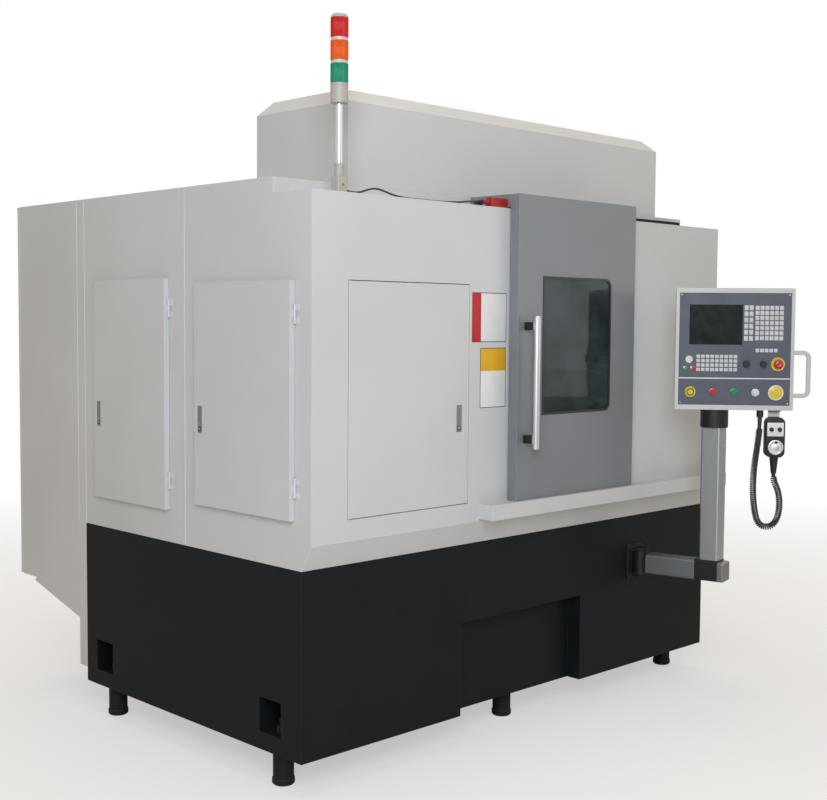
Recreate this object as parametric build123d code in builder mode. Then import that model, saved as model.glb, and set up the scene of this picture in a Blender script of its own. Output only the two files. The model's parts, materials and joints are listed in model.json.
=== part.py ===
from build123d import *
import os
from math import atan, cos, degrees, pi, radians, sin, tan

# CNC gear hobbing machine. Millimetres, +Z up, +X to the right along the front, +Y to the back.
# The origin is on the floor, at the middle of the space that the machine takes up.

os.makedirs("parts", exist_ok=True)

# Enclosure: its width, its depth to the rear posts, and heights above the floor
WIDTH = 2400
DEPTH = 1436
BASE_BOTTOM = 122
BASE_TOP = 777
FOLD_HEIGHT = 866
STRIP_TOP = 2038
ROOF_TOP = 2092
BASE_SET_BACK = 50
SHEET = 3
SEAM_GAP = 1

# Door leaves stand proud of the side walls and of the cabinet
LEAF = 21
LEAF_GAP = 1
LEAF_SHEET = 2

# Places of the four walls
LEFT = -(WIDTH - LEAF - LEAF_GAP) / 2
RIGHT = LEFT + WIDTH
FRONT = -694
BACK = FRONT + DEPTH
BASE_FRONT = FRONT + BASE_SET_BACK

# Rear posts and the electrical cabinet on them
POST_DEPTH = 58
POST_WIDTH = 60
POST_BOTTOM = 178
CABINET_DEPTH = 484
CABINET_BOTTOM = 488
CABINET_FRONT = BACK + POST_DEPTH
CABINET_BACK = CABINET_FRONT + CABINET_DEPTH
GUSSET_REACH = 369
GUSSET_ROOT = 114
GUSSET_TIP = 17
CABINET_SHEET = 3
CABINET_LIP = 30
CABINET_DOOR_WIDTH = 790
CABINET_DOOR_MARGIN = 12
PIVOT_TAB = 8
PIVOT_TAB_LENGTH = 24
PIVOT_CHAMFER = 6
CABINET_HANDLE_INSET = 40
CABINET_HANDLE_WIDTH = 26
CABINET_HANDLE_HEIGHT = 150
CABINET_HANDLE_BOTTOM = 1180
CABINET_HANDLE_PROUD = 8
PLATE_STANDOFF = 30
PLATE_MARGIN = 70
PLATE_BOTTOM = 560
PLATE_TOP = 2020
DRIVE_GAP = 12
# Rows on the mounting plate: how many units, their width, height and depth, and the row's height
DRIVE_ROWS = ((9, 110, 380, 240, 1560), (14, 60, 260, 180, 1180), (5, 260, 220, 200, 640))

# Roof: a low strip at the front, a riser behind it, and the raised hood
STRIP_DEPTH = 205
RISER = FRONT + STRIP_DEPTH
HOOD_LEFT = LEFT + 335
HOOD_RIGHT = RIGHT - 203
HOOD_DEPTH = 525
HOOD_WALL_TOP = 2385
HOOD_TOP = 2435
HOOD_INSET_SIDE = 35
HOOD_INSET_FRONT = 60

# Cast base
BASE_WALL = 40
BASE_FLOOR = 61
BASE_DECK = 12
RECESS_LEFT = LEFT + 775
RECESS_WIDTH = 720
RECESS_TOP = 478
RECESS_DEPTH = 65
POCKET_WIDTH = 121
POCKET_HEIGHT = 124
POCKET_DEPTH = 115
POCKET_WALL = 30
POCKET_BOTTOM = BASE_BOTTOM + BASE_FLOOR

# Levelling feet
FOOT_RADIUS = 40
FOOT_PAD = 22
FOOT_WAIST = 37
FOOT_CHAMFER = 6
FOOT_SIDE_INSET = 60
FOOT_ROWS = (FRONT + 220, FRONT + 1299)
STUD_RADIUS = 15
STUD_CLEARANCE = 0.5
STUD_REACH = 46
NUT_ACROSS_FLATS = 46
NUT_HEIGHT = 24

# Front wall: access door, sliding door, sill and top rail
ACCESS_LEFT = LEFT + 161
ACCESS_WIDTH = 588
ACCESS_BOTTOM = 942
ACCESS_HEIGHT = 803
ACCESS_GAP = 3
ACCESS_PAN = 18
ACCESS_LIP = 15
DOOR_LEFT = LEFT + 966
DOOR_WIDTH = 736
DOOR_BOTTOM = 933
DOOR_TOP = 2091
DOOR_THICK = 42
DOOR_STANDOFF = 6
DOOR_OVERLAP = 37
DOOR_TRAVEL = 640
DOOR_BOX_DEPTH = 200
DOOR_BOX_BOTTOM = STRIP_TOP + 4
DOORWAY_BOTTOM = 945
WINDOW_LEFT = DOOR_LEFT + 144
WINDOW_WIDTH = 430
WINDOW_BOTTOM = 1253
WINDOW_HEIGHT = 534
WINDOW_RADIUS = 34
GASKET_WIDTH = 9
GASKET_PROUD = 2
GASKET_LIP = 4
GLASS_SEAT = 4
GLASS = 8
SILL_LEFT = LEFT + 810
SILL_BOTTOM = 875
SILL_PROUD = 70
SILL_GAP = 1
TRACK_WIDTH = 8
TRACK_DEPTH = 12
FIN_WIDTH = 5
FIN_HEIGHT = 8
RAIL_LEFT = LEFT + 980
RAIL_LENGTH = 1350
RAIL_BACK = 40
RAIL_WEB = 10
RAIL_FOOT = 40
RAIL_HEIGHT = 34
RAIL_FOOT_THICK = 4
RAIL_CLEARANCE = 0.5
RAIL_CUTOUT = 4
SHOE_LENGTH = 60
SHOE_WIDTH = 34
GRIP_RADIUS = 14.5
GRIP_BOTTOM = 1130
GRIP_LENGTH = 503
GRIP_INSET = 52
GRIP_REACH = 50
GRIP_CHAMFER = 1.5
GRIP_BLOCK = 30
GRIP_BLOCK_INSET = 37

# Side doors on the left wall: front edge, width, bottom and height of each
SIDE_DOORS = {
    "left_front": (FRONT + 86, 549, 943, 800),
    "left_rear": (FRONT + 826, 504, 900, 862),
}
SEAM = FRONT + 760
DOOR_LAP = 15
KNUCKLE_RADIUS = 5
KNUCKLE_LENGTH = 22
KNUCKLE_GAP = 0.3
HINGE_PIN_RADIUS = 2.5
PIN_CLEARANCE = 0.1
HINGE_INSET = 110
PIVOT_INSET = 8
DOOR_BEND = 4
PIVOT_DEPTH = 6
PIVOT_RADIUS = 3.5

# Flush latches
CUP_WIDTH = 30
CUP_HEIGHT = 98
CUP_DEPTH = 14
CUP_WALL = 2
PADDLE_THICK = 5
PADDLE_GAP = 1.5
TRUNNION_RADIUS = 2
TRUNNION_DROP = 8
LATCH_INSET = 33
LATCH_HEIGHT = {"left_front": 1253, "left_rear": 1235, "front": 1257}

# Tower lamp
LAMP_X = LEFT + 167
LAMP_Y = FRONT + 60
LAMP_RADIUS = 30
LAMP_SHELL = 4
LAMP_STEM_RADIUS = 9
LAMP_LENS_HEIGHT = 64
LAMP_RING_HEIGHT = 11
LAMP_RING_RADIUS = 28
LAMP_BASE_BOTTOM = 2336
LAMP_BASE_HEIGHT = 66
LAMP_CAP_HEIGHT = 13
POLE_RADIUS = 12
SOCKET_RADIUS = 16
SOCKET_TOP = 2138
LAMP_BOX = 40
LAMP_BOX_HEIGHT = 52
LAMP_FOOT_LENGTH = 120
LAMP_FOOT_WIDTH = 60
LAMP_FOOT_THICK = 3

# Door interlock switch on the low roof strip, and its cable
SWITCH_LEFT = LEFT + 868
SWITCH_LENGTH = 92
SWITCH_FRONT = FRONT + 4
SWITCH_DEPTH = 30
SWITCH_HEIGHT = 34
SWITCH_CORNER = 3
PLUG_LENGTH = 36
PLUG_RADIUS = 10
PLUG_HEIGHT = 17
PLUG_TAPER = 2
CABLE_RADIUS = 3.5
CABLE_START_HEIGHT = 9
CABLE_ROUTE = (
    (0, 0, 0), (28, 0, 0), (64, -8, -1), (98, -16, 12), (130, -20, 18), (166, -21, 12),
    (212, -22, 0), (278, -18, -5), (352, -14, -4), (436, -18, -5), (518, -27, -3),
    (580, -37, 4), (619, -41, 8),
)

# Swing arm: its pivot, tubes, elbow and column
ARM_PIVOT_X = LEFT + 1860
ARM_PIVOT_Y = FRONT + 8
ARM_TURN = 12.1
ARM_REACH = 315
ARM_SECTION = 82
ARM_MIDDLE = 578
ARM_CORNER = 8
ARM_WALL = 6
KNUCKLE_DRUM_RADIUS = 33
KNUCKLE_DRUM_HEIGHT = 96
PIVOT_PIN_RADIUS = 14
PIVOT_PLATE = 8
PIVOT_PLATE_WIDTH = 96
PIVOT_PLATE_HEIGHT = 150
PIVOT_LUG = 14
LUG_GAP = 0.5
LUG_STEP = 3
PIVOT_CLEARANCE = 0.3
SPIGOT = 40
ARM_START = 38
ELBOW_START = 256
END_CAP = 26
COLUMN_BOTTOM = 626
COLLAR_BOTTOM = 1180
COLLAR_RADIUS = 57
COLLAR_GAP = 0.4
SWIVEL_PIN_RADIUS = 22

# Control panel: it faces the operator, and its middle stands beside the column
PANEL_FACING = 50
PANEL_WIDTH = 478
PANEL_HEIGHT = 500
PANEL_MIDDLE = 1506
PANEL_SIDE_SHIFT = 68
PANEL_FORWARD = 60
PANEL_DEPTH = 104
PANEL_RIM_DEPTH = 30
PANEL_RIM = 14
PANEL_RIM_TALL = 20
PANEL_WALL = 4
PANEL_CORNER = 8
BACK_INSET = 16
FACE_THICK = 4
FACE_DROP = 2
DIVIDER = 6
DIVIDER_HEIGHT = -120
SCREEN_LEFT = -184
SCREEN_BOTTOM = 18
SCREEN_WIDTH = 214
SCREEN_HEIGHT = 164
SCREEN_THICK = 3
KEY_HEIGHT = 1.6
BUTTON_RADIUS = 11
BUTTON_BORE_CLEARANCE = 0.4
BUTTON_TRAVEL = 4
BUTTON_EDGE = 1
BUTTON_FLANGE = 3
BUTTON_FLANGE_GAP = 0.3
BEZEL_RADIUS = 15
BEZEL_PROUD = 3
BUTTON_PROUD = BEZEL_PROUD + BUTTON_TRAVEL + 2
KEY_PROUD = 7
BUTTON_ROW = -177
STOP_RADIUS = 19
STOP_STEM = 9
STOP_HEIGHT = 30
STOP_TRAVEL = 6
STOP_NECK = BEZEL_PROUD + STOP_TRAVEL + 1
STOP_RING_RADIUS = 28
STOP_CROWN = 9
SOUNDER_PLACE = (-183, -43)
KNOB_RADIUS = 14
KNOB_HEIGHT = 18
KNOB_GAP = 0.5
KNOB_TAPER = 4
KNOB_SHAFT_RADIUS = 4
HANDLE_BAR = 18
HANDLE_OUT = 61
HANDLE_TOP = -13
HANDLE_DROP = 176
HANDLE_CORNER = 22

# Handwheel unit that hangs under the panel, and its curly cord
UNIT_X = 170
UNIT_TOP = -278
UNIT_WIDTH = 80
UNIT_HEIGHT = 165
UNIT_THICK = 46
UNIT_FORWARD = 8
UNIT_CORNER = 24
UNIT_EDGE = 6
HANGER_WIDTH = 46
HANGER_THICK = 4
HANGER_OVERLAP = 40
PLATE_DROP = 49
SELECTOR_PLATE_WIDTH = 66
SELECTOR_PLATE_HEIGHT = 56
SELECTOR_RADIUS = 9
SELECTOR_HEIGHT = 12
WHEEL_RADIUS = 31
WHEEL_THICK = 14
WHEEL_DROP = 122
WHEEL_GAP = 0.5
WHEEL_PIN_RADIUS = 5
WHEEL_PIN_LENGTH = 20
WHEEL_EDGE = 2
CRANK_RADIUS = 5
CRANK_INSET = 9
CRANK_HEIGHT = 16
RELIEF_LENGTH = 66
RELIEF_TOP_RADIUS = 18
RELIEF_TIP_RADIUS = 11
CORD_RADIUS = 14
CORD_SOCKET = 28
CORD_EXIT_X = 110
CORD_ROUTE = (
    (0, 0, 0), (0, -54, 0), (-8, -120, 3), (-18, -194, 4), (-22, -268, 3), (-20, -338, 0),
    (-10, -402, -3), (3, -444, -5), (36, -459, -6), (70, -444, -5), (86, -399, -3), (88, -350, 0),
    (80, -301, 1), (60, -262, 0),
)

# Machine inside: the machining axis, bed, table, hob column and tailstock
TABLE_X = LEFT + 1334
AXIS_Y = FRONT + 470
BED_LEFT = LEFT + 250
BED_RIGHT = RIGHT - 250
BED_FRONT = FRONT + 190
BED_BACK = FRONT + 750
BED_TOP = 830
BED_GAP = 1
WAY_SPREAD = 340
WAY_WIDTH = 60
WAY_HEIGHT = 30
WAY_LEFT = LEFT + 262
WAY_RIGHT = LEFT + 1060
SLIDING_GAP = 0.3
PEDESTAL_RADIUS = 265
PEDESTAL_TOP = 925
TABLE_RADIUS = 210
TABLE_THICK = 62
TABLE_SPIGOT = 90
TABLE_GAP = 0.4
SPIGOT_DEPTH = 60
SLOT_COUNT = 6
SLOT_WIDTH = 16
SLOT_DEPTH = 18
ARBOR_FLANGE_RADIUS = 80
ARBOR_RADIUS = 26
ARBOR_TOP = 1262
CENTRE_HOLE_RADIUS = 9
CENTRE_HOLE_TAPER = 30
COLUMN_BACK = LEFT + 300
COLUMN_FACE = LEFT + 760
COLUMN_WIDTH = 400
COLUMN_TOP = 2230
COLUMN_TAPER = 110
SADDLE_HEIGHT = 110
SADDLE_OVERHANG = 30
GUIDE_SPREAD = 240
GUIDE_WIDTH = 56
GUIDE_THICK = 25
GUIDE_UNDERCUT = 8
SLIDE_THICK = 66
SLIDE_WIDTH = 340
SLIDE_HEIGHT = 360
HOB_HEIGHT = 1400
SWIVEL_RADIUS = 150
SWIVEL_THICK = 30
SWIVEL_PIN = 60
SWIVEL_DEPTH = 36
HEAD_THICK = 92
HEAD_HALF_LENGTH = 180
HEAD_HALF_HEIGHT = 62
HEAD_CORNER = 18
HOB_OUT = 278
BRACKET_INSIDE = 104
BRACKET_THICK = 56
BRACKET_RADIUS = 44
JOURNAL_RADIUS = 24
JOURNAL_CLEARANCE = 0.1
HOB_RADIUS = 55
HOB_ROOT_RADIUS = 43
HOB_LENGTH = 104
HOB_GASHES = 10
HOB_PITCH = 13
HOB_ROOT_SHARE = 0.36
HOB_TIP_SHARE = 0.14
TOOTH_LENGTH = 13
TOOTH_SINK = 1.5
SPACER_RADIUS = 27
MOTOR_RADIUS = 50
MOTOR_LENGTH = 62
TAIL_FACE = LEFT + 1760
TAIL_DEPTH = 330
TAIL_WIDTH = 300
TAIL_TOP = 2000
TAIL_GUIDE_SPREAD = 180
TAIL_ARM_HEIGHT = 1560
TAIL_CARRIAGE_HEIGHT = 240
TAIL_CARRIAGE_THICK = 60
TAIL_ARM_DEPTH = 120
TAIL_ARM_WIDTH = 92
QUILL_RADIUS = 28
QUILL_DROP = 46
CENTRE_RADIUS = 20
CENTRE_TAPER = 29
CENTRE_DROP = 34

# Hydraulic unit behind the left front door
TANK_LEFT = LEFT + 34
TANK_WIDTH = 186
TANK_FRONT = FRONT + 150
TANK_LENGTH = 420
TANK_HEIGHT = 300
PUMP_RADIUS = 70
PUMP_ROUND = PUMP_RADIUS / 5
PUMP_PLACE = 0.333
FILTER_PLACE = 0.78
PUMP_LENGTH = 210
FILTER_RADIUS = 38
FILTER_HEIGHT = 120


def block(x, y, z, mode=Mode.ADD):
    """Add or cut a box between two corners, given as (low, high) for each axis."""
    with Locations(((x[0] + x[1]) / 2, (y[0] + y[1]) / 2, (z[0] + z[1]) / 2)):
        Box(x[1] - x[0], y[1] - y[0], z[1] - z[0], mode=mode)


def save(builder, name):
    """Label a finished piece and write it under its own name."""
    builder.part.label = name
    export_step(builder.part, f"parts/{name}.step")


def rounded_tube(plane, width, height, wall, corner, length):
    """A rectangular tube with rounded edges, from a plane along its normal."""
    with BuildSketch(plane) as section:
        RectangleRounded(width, height, corner)
        RectangleRounded(width - 2 * wall, height - 2 * wall, corner - wall / 2, mode=Mode.SUBTRACT)
    extrude(section.sketch, amount=length)


def drum(plane, x, y, radius, length, mode=Mode.ADD):
    """Add or cut a round post that stands on a plane at x, y."""
    with BuildSketch(plane) as section:
        with Locations((x, y)):
            Circle(radius)
    extrude(section.sketch, amount=length, mode=mode)


# Levelling feet, each with its jacking stud and lock nut
foot_columns = (LEFT + FOOT_SIDE_INSET, (LEFT + RIGHT) / 2, RIGHT - FOOT_SIDE_INSET)
foot_places = [(x, y) for x in foot_columns for y in FOOT_ROWS]

with BuildPart() as levelling_feet:
    with BuildSketch():
        with Locations(*foot_places):
            Circle(FOOT_RADIUS)
    extrude(amount=FOOT_PAD)
    chamfer(levelling_feet.faces().filter_by(Axis.Z).group_by(Axis.Z)[0].edges(), FOOT_CHAMFER)
    with BuildSketch(Plane.XY.offset(FOOT_PAD)):
        with Locations(*foot_places):
            Circle(FOOT_WAIST)
    extrude(amount=BASE_BOTTOM - FOOT_PAD)
    with BuildSketch(Plane.XY.offset(BASE_BOTTOM)):
        with Locations(*foot_places):
            Circle(STUD_RADIUS)
    extrude(amount=BASE_FLOOR + STUD_REACH)
    with BuildSketch(Plane.XY.offset(POCKET_BOTTOM)):
        with Locations(*foot_places):
            RegularPolygon(NUT_ACROSS_FLATS / 2, 6, major_radius=False)
    extrude(amount=NUT_HEIGHT)
save(levelling_feet, "levelling_feet")

# Base casting: walls, floor, deck, toe recess and the pockets that reach the lock nuts
cavity_front = BASE_FRONT + RECESS_DEPTH + BASE_WALL

with BuildPart() as base_frame:
    block((LEFT, RIGHT), (BASE_FRONT, BACK), (BASE_BOTTOM, BASE_TOP))
    block(
        (LEFT + BASE_WALL, RIGHT - BASE_WALL),
        (cavity_front, BACK - BASE_WALL),
        (POCKET_BOTTOM, BASE_TOP - BASE_DECK),
        Mode.SUBTRACT,
    )
    block(
        (BED_LEFT - BED_GAP, BED_RIGHT + BED_GAP),
        (BED_FRONT - BED_GAP, BED_BACK + BED_GAP),
        (BASE_TOP - BASE_DECK, BASE_TOP),
        Mode.SUBTRACT,
    )
    block(
        (RECESS_LEFT, RECESS_LEFT + RECESS_WIDTH),
        (BASE_FRONT, BASE_FRONT + RECESS_DEPTH),
        (BASE_BOTTOM, RECESS_TOP),
        Mode.SUBTRACT,
    )
    for side, inward in ((LEFT, 1), (RIGHT, -1)):
        for row in FOOT_ROWS:
            housing = sorted((side + inward * BASE_WALL / 2, side + inward * (POCKET_DEPTH + POCKET_WALL)))
            half = POCKET_WIDTH / 2 + POCKET_WALL
            block(
                housing,
                (row - half, min(row + half, BACK - BASE_WALL / 2)),
                (POCKET_BOTTOM, POCKET_BOTTOM + POCKET_HEIGHT + POCKET_WALL),
            )
            block(
                sorted((side, side + inward * POCKET_DEPTH)),
                (row - POCKET_WIDTH / 2, row + POCKET_WIDTH / 2),
                (POCKET_BOTTOM, POCKET_BOTTOM + POCKET_HEIGHT),
                Mode.SUBTRACT,
            )
    with BuildSketch(Plane.XY.offset(BASE_BOTTOM)):
        with Locations(*foot_places):
            Circle(STUD_RADIUS + STUD_CLEARANCE)
    extrude(amount=BASE_FLOOR, mode=Mode.SUBTRACT)
save(base_frame, "base_frame")

# Front sheet: one folded piece that leans back under the fold and stands on the base
with BuildPart() as front_panel:
    with BuildSketch(Plane.YZ.offset(LEFT)):
        with BuildLine():
            Polyline(
                (FRONT, STRIP_TOP - SHEET),
                (FRONT, FOLD_HEIGHT),
                (BASE_FRONT, BASE_TOP),
                (BASE_FRONT + BASE_WALL, BASE_TOP),
                (BASE_FRONT + BASE_WALL, BASE_TOP + SHEET),
                (BASE_FRONT + SHEET / 2, BASE_TOP + SHEET),
                (FRONT + SHEET, FOLD_HEIGHT + SHEET / 2),
                (FRONT + SHEET, STRIP_TOP - SHEET),
                close=True,
            )
        make_face()
    extrude(amount=WIDTH)
    block(
        (DOOR_LEFT + DOOR_OVERLAP, DOOR_LEFT + DOOR_WIDTH - DOOR_OVERLAP),
        (FRONT, FRONT + SHEET),
        (DOORWAY_BOTTOM, STRIP_TOP),
        Mode.SUBTRACT,
    )
    jamb_x = (ACCESS_LEFT - ACCESS_GAP, ACCESS_LEFT + ACCESS_WIDTH + ACCESS_GAP)
    jamb_z = (ACCESS_BOTTOM - ACCESS_GAP, ACCESS_BOTTOM + ACCESS_HEIGHT + ACCESS_GAP)
    jamb_back = FRONT + ACCESS_PAN + ACCESS_GAP + SHEET
    block(
        (jamb_x[0] - SHEET, jamb_x[1] + SHEET),
        (FRONT, jamb_back),
        (jamb_z[0] - SHEET, jamb_z[1] + SHEET),
    )
    block(jamb_x, (FRONT, jamb_back - SHEET), jamb_z, Mode.SUBTRACT)
    block(
        (jamb_x[0] + ACCESS_LIP, jamb_x[1] - ACCESS_LIP),
        (FRONT, jamb_back),
        (jamb_z[0] + ACCESS_LIP, jamb_z[1] - ACCESS_LIP),
        Mode.SUBTRACT,
    )
    access_pivot = (ACCESS_LEFT + PIVOT_INSET, FRONT + PIVOT_DEPTH)
    for end in (jamb_z[0], jamb_z[1] - ACCESS_GAP - ACCESS_PAN / 2):
        with BuildSketch(Plane.XY.offset(end)):
            with Locations(access_pivot):
                Circle(PIVOT_RADIUS)
        extrude(amount=ACCESS_GAP + ACCESS_PAN / 2)
save(front_panel, "front_panel")


def add_hinges(axis_x, axis_y, low, height, wall_side):
    """Barrel hinges on a vertical axis: the outer knuckles and pin, or the leaf's middle knuckle."""
    pitch = KNUCKLE_LENGTH + KNUCKLE_GAP
    for middle in (low + HINGE_INSET, low + height - HINGE_INSET):
        offsets = (-pitch, pitch) if wall_side else (0,)
        for shift in offsets:
            start = middle + shift - KNUCKLE_LENGTH / 2
            drum(Plane.XY.offset(start), axis_x, axis_y, KNUCKLE_RADIUS, KNUCKLE_LENGTH)
            if wall_side:
                leaf_y = (axis_y - 3 * KNUCKLE_RADIUS, axis_y)
                leaf_x = (axis_x + KNUCKLE_RADIUS / 2, LEFT)
            else:
                leaf_y = (axis_y, axis_y + KNUCKLE_RADIUS + LEAF_SHEET)
                leaf_x = (axis_x - KNUCKLE_RADIUS, axis_x - KNUCKLE_RADIUS / 2)
            block(leaf_x, leaf_y, (start, start + KNUCKLE_LENGTH))
        pin_low = Plane.XY.offset(middle - pitch - KNUCKLE_LENGTH / 2)
        pin_length = 2 * pitch + KNUCKLE_LENGTH
        if wall_side:
            drum(pin_low, axis_x, axis_y, HINGE_PIN_RADIUS, pin_length)
        else:
            drum(pin_low, axis_x, axis_y, HINGE_PIN_RADIUS + PIN_CLEARANCE, pin_length, Mode.SUBTRACT)


def paddle_pivot(face):
    """The plane of a latch paddle's trunnions, square to them."""
    centre = face.from_local_coords((0, CUP_HEIGHT / 2 - TRUNNION_DROP, -PADDLE_GAP - PADDLE_THICK / 2))
    return Plane(origin=centre, z_dir=face.x_dir)


def add_latch_cup(face):
    """A latch cup behind the skin of a door; the plane lies on the door's outer face."""
    with BuildSketch(face) as outside:
        Rectangle(CUP_WIDTH + 2 * CUP_WALL, CUP_HEIGHT + 2 * CUP_WALL)
    extrude(outside.sketch, amount=-CUP_DEPTH)
    with BuildSketch(face) as inside:
        Rectangle(CUP_WIDTH, CUP_HEIGHT)
    extrude(inside.sketch, amount=-(CUP_DEPTH - CUP_WALL), mode=Mode.SUBTRACT)
    reach = CUP_WIDTH / 2 + CUP_WALL
    drum(paddle_pivot(face).offset(-reach), 0, 0, TRUNNION_RADIUS + PIN_CLEARANCE, 2 * reach, Mode.SUBTRACT)


def make_paddle(face):
    """The paddle of a flush latch, with trunnions in the cup's side walls and a dished finger end."""
    width = CUP_WIDTH - 2 * PADDLE_GAP
    height = CUP_HEIGHT - 2 * PADDLE_GAP
    reach = CUP_WIDTH / 2 + CUP_WALL / 2
    with BuildPart() as paddle:
        with BuildSketch(face.offset(-PADDLE_GAP)):
            RectangleRounded(width, height, PADDLE_THICK)
        extrude(amount=-PADDLE_THICK)
        with BuildSketch(face.offset(-PADDLE_GAP)):
            with Locations((0, -height / 4)):
                SlotOverall(height / 3, width / 2, rotation=90)
        extrude(amount=-PADDLE_THICK / 2, mode=Mode.SUBTRACT)
        drum(paddle_pivot(face).offset(-reach), 0, 0, TRUNNION_RADIUS, 2 * reach)
    return paddle


# Left wall: two sheets that meet at a seam, each with a doorway; their front edge follows the fold
def side_outline(first, last):
    """Outline of a side sheet in Y and Z, between two depths."""
    top = ROOF_TOP - SHEET
    if first > FRONT + STRIP_DEPTH:
        return [(first, BASE_TOP), (last, BASE_TOP), (last, top), (first, top)]
    return [
        (BASE_FRONT + SHEET / 2, BASE_TOP + SHEET),
        (BASE_FRONT + BASE_WALL, BASE_TOP + SHEET),
        (BASE_FRONT + BASE_WALL, BASE_TOP),
        (last, BASE_TOP),
        (last, top),
        (RISER, top),
        (RISER, STRIP_TOP - SHEET),
        (FRONT + SHEET, STRIP_TOP - SHEET),
        (FRONT + SHEET, FOLD_HEIGHT + SHEET / 2),
    ]


leaf_axis_x = LEFT - LEAF_GAP / 2 - KNUCKLE_RADIUS

with BuildPart() as left_panels:
    for first, last in ((FRONT, SEAM - SEAM_GAP / 2), (SEAM + SEAM_GAP / 2, BACK)):
        with BuildSketch(Plane.YZ.offset(LEFT)):
            with BuildLine():
                Polyline(*side_outline(first, last), close=True)
            make_face()
        extrude(amount=SHEET)
    for flange_start in (SEAM - SEAM_GAP / 2 - SHEET, SEAM + SEAM_GAP / 2):
        block((LEFT, LEFT + CABINET_LIP), (flange_start, flange_start + SHEET), (BASE_TOP, ROOF_TOP - SHEET))
    for edge, width, low, height in SIDE_DOORS.values():
        block(
            (LEFT, LEFT + SHEET),
            (edge + DOOR_LAP, edge + width - DOOR_LAP),
            (low + DOOR_LAP, low + height - DOOR_LAP),
            Mode.SUBTRACT,
        )
        add_hinges(leaf_axis_x, edge - KNUCKLE_RADIUS - KNUCKLE_GAP, low, height, True)
save(left_panels, "left_panels")

with BuildPart() as right_panel:
    with BuildSketch(Plane.YZ.offset(RIGHT - SHEET)):
        with BuildLine():
            Polyline(*side_outline(FRONT, BACK), close=True)
        make_face()
    extrude(amount=SHEET)
save(right_panel, "right_panel")

# Side doors: folded pans that lap over their doorways
for name, (edge, width, low, height) in SIDE_DOORS.items():
    leaf = (LEFT - LEAF_GAP - LEAF, LEFT - LEAF_GAP)
    latch_face = Plane(
        origin=(leaf[0], edge + width - LATCH_INSET, LATCH_HEIGHT[name]), x_dir=(0, -1, 0), z_dir=(-1, 0, 0)
    )
    with BuildPart() as side_door:
        block(leaf, (edge, edge + width), (low, low + height))
        block(
            (leaf[0] + LEAF_SHEET, leaf[1]),
            (edge + LEAF_SHEET, edge + width - LEAF_SHEET),
            (low + LEAF_SHEET, low + height - LEAF_SHEET),
            Mode.SUBTRACT,
        )
        add_hinges(leaf_axis_x, edge - KNUCKLE_RADIUS - KNUCKLE_GAP, low, height, False)
        add_latch_cup(latch_face)
    save(side_door, f"{name}_door")
    save(make_paddle(latch_face), f"{name}_latch")

# Front access door: a pan that closes flush in its folded jamb, on a pivot at top and bottom
front_latch_face = Plane(
    origin=(ACCESS_LEFT + ACCESS_WIDTH - LATCH_INSET - CUP_WIDTH / 2, FRONT, LATCH_HEIGHT["front"]),
    x_dir=(1, 0, 0),
    z_dir=(0, -1, 0),
)

with BuildPart() as front_access_door:
    block(
        (ACCESS_LEFT, ACCESS_LEFT + ACCESS_WIDTH),
        (FRONT, FRONT + ACCESS_PAN),
        (ACCESS_BOTTOM, ACCESS_BOTTOM + ACCESS_HEIGHT),
    )
    block(
        (ACCESS_LEFT + 2 * PIVOT_INSET, ACCESS_LEFT + ACCESS_WIDTH - LEAF_SHEET),
        (FRONT + LEAF_SHEET, FRONT + ACCESS_PAN),
        (ACCESS_BOTTOM + LEAF_SHEET, ACCESS_BOTTOM + ACCESS_HEIGHT - LEAF_SHEET),
        Mode.SUBTRACT,
    )
    for end in (ACCESS_BOTTOM, ACCESS_BOTTOM + ACCESS_HEIGHT - ACCESS_PAN / 2 - KNUCKLE_GAP):
        with BuildSketch(Plane.XY.offset(end)):
            with Locations(access_pivot):
                Circle(PIVOT_RADIUS + PIN_CLEARANCE)
        extrude(amount=ACCESS_PAN / 2 + KNUCKLE_GAP, mode=Mode.SUBTRACT)
    add_latch_cup(front_latch_face)
save(front_access_door, "front_access_door")
save(make_paddle(front_latch_face), "front_access_latch")

# Roof: the low front strip with its riser, then the main roof with the well under the hood
rail_y = RISER - RAIL_BACK

with BuildPart() as front_roof_strip:
    block((LEFT, RIGHT), (FRONT, RISER), (STRIP_TOP - SHEET, STRIP_TOP))
    block((LEFT + SHEET, RIGHT - SHEET), (RISER, RISER + SHEET), (STRIP_TOP - SHEET, ROOF_TOP - SHEET))
    block(
        (DOOR_LEFT + DOOR_OVERLAP, DOOR_LEFT + DOOR_WIDTH - DOOR_OVERLAP),
        (FRONT, rail_y - RAIL_FOOT / 2),
        (STRIP_TOP - SHEET, STRIP_TOP),
        Mode.SUBTRACT,
    )
save(front_roof_strip, "front_roof_strip")

hood_back = RISER + HOOD_DEPTH

with BuildPart() as roof_panel:
    block((LEFT, RIGHT), (RISER, CABINET_FRONT), (ROOF_TOP - SHEET, ROOF_TOP))
    block(
        (HOOD_LEFT + SHEET, HOOD_RIGHT - SHEET),
        (RISER + SHEET, hood_back - SHEET),
        (ROOF_TOP - SHEET, ROOF_TOP),
        Mode.SUBTRACT,
    )
save(roof_panel, "roof_panel")

hood_width = HOOD_RIGHT - HOOD_LEFT
hood_middle = ((HOOD_LEFT + HOOD_RIGHT) / 2, RISER + HOOD_DEPTH / 2)

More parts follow.
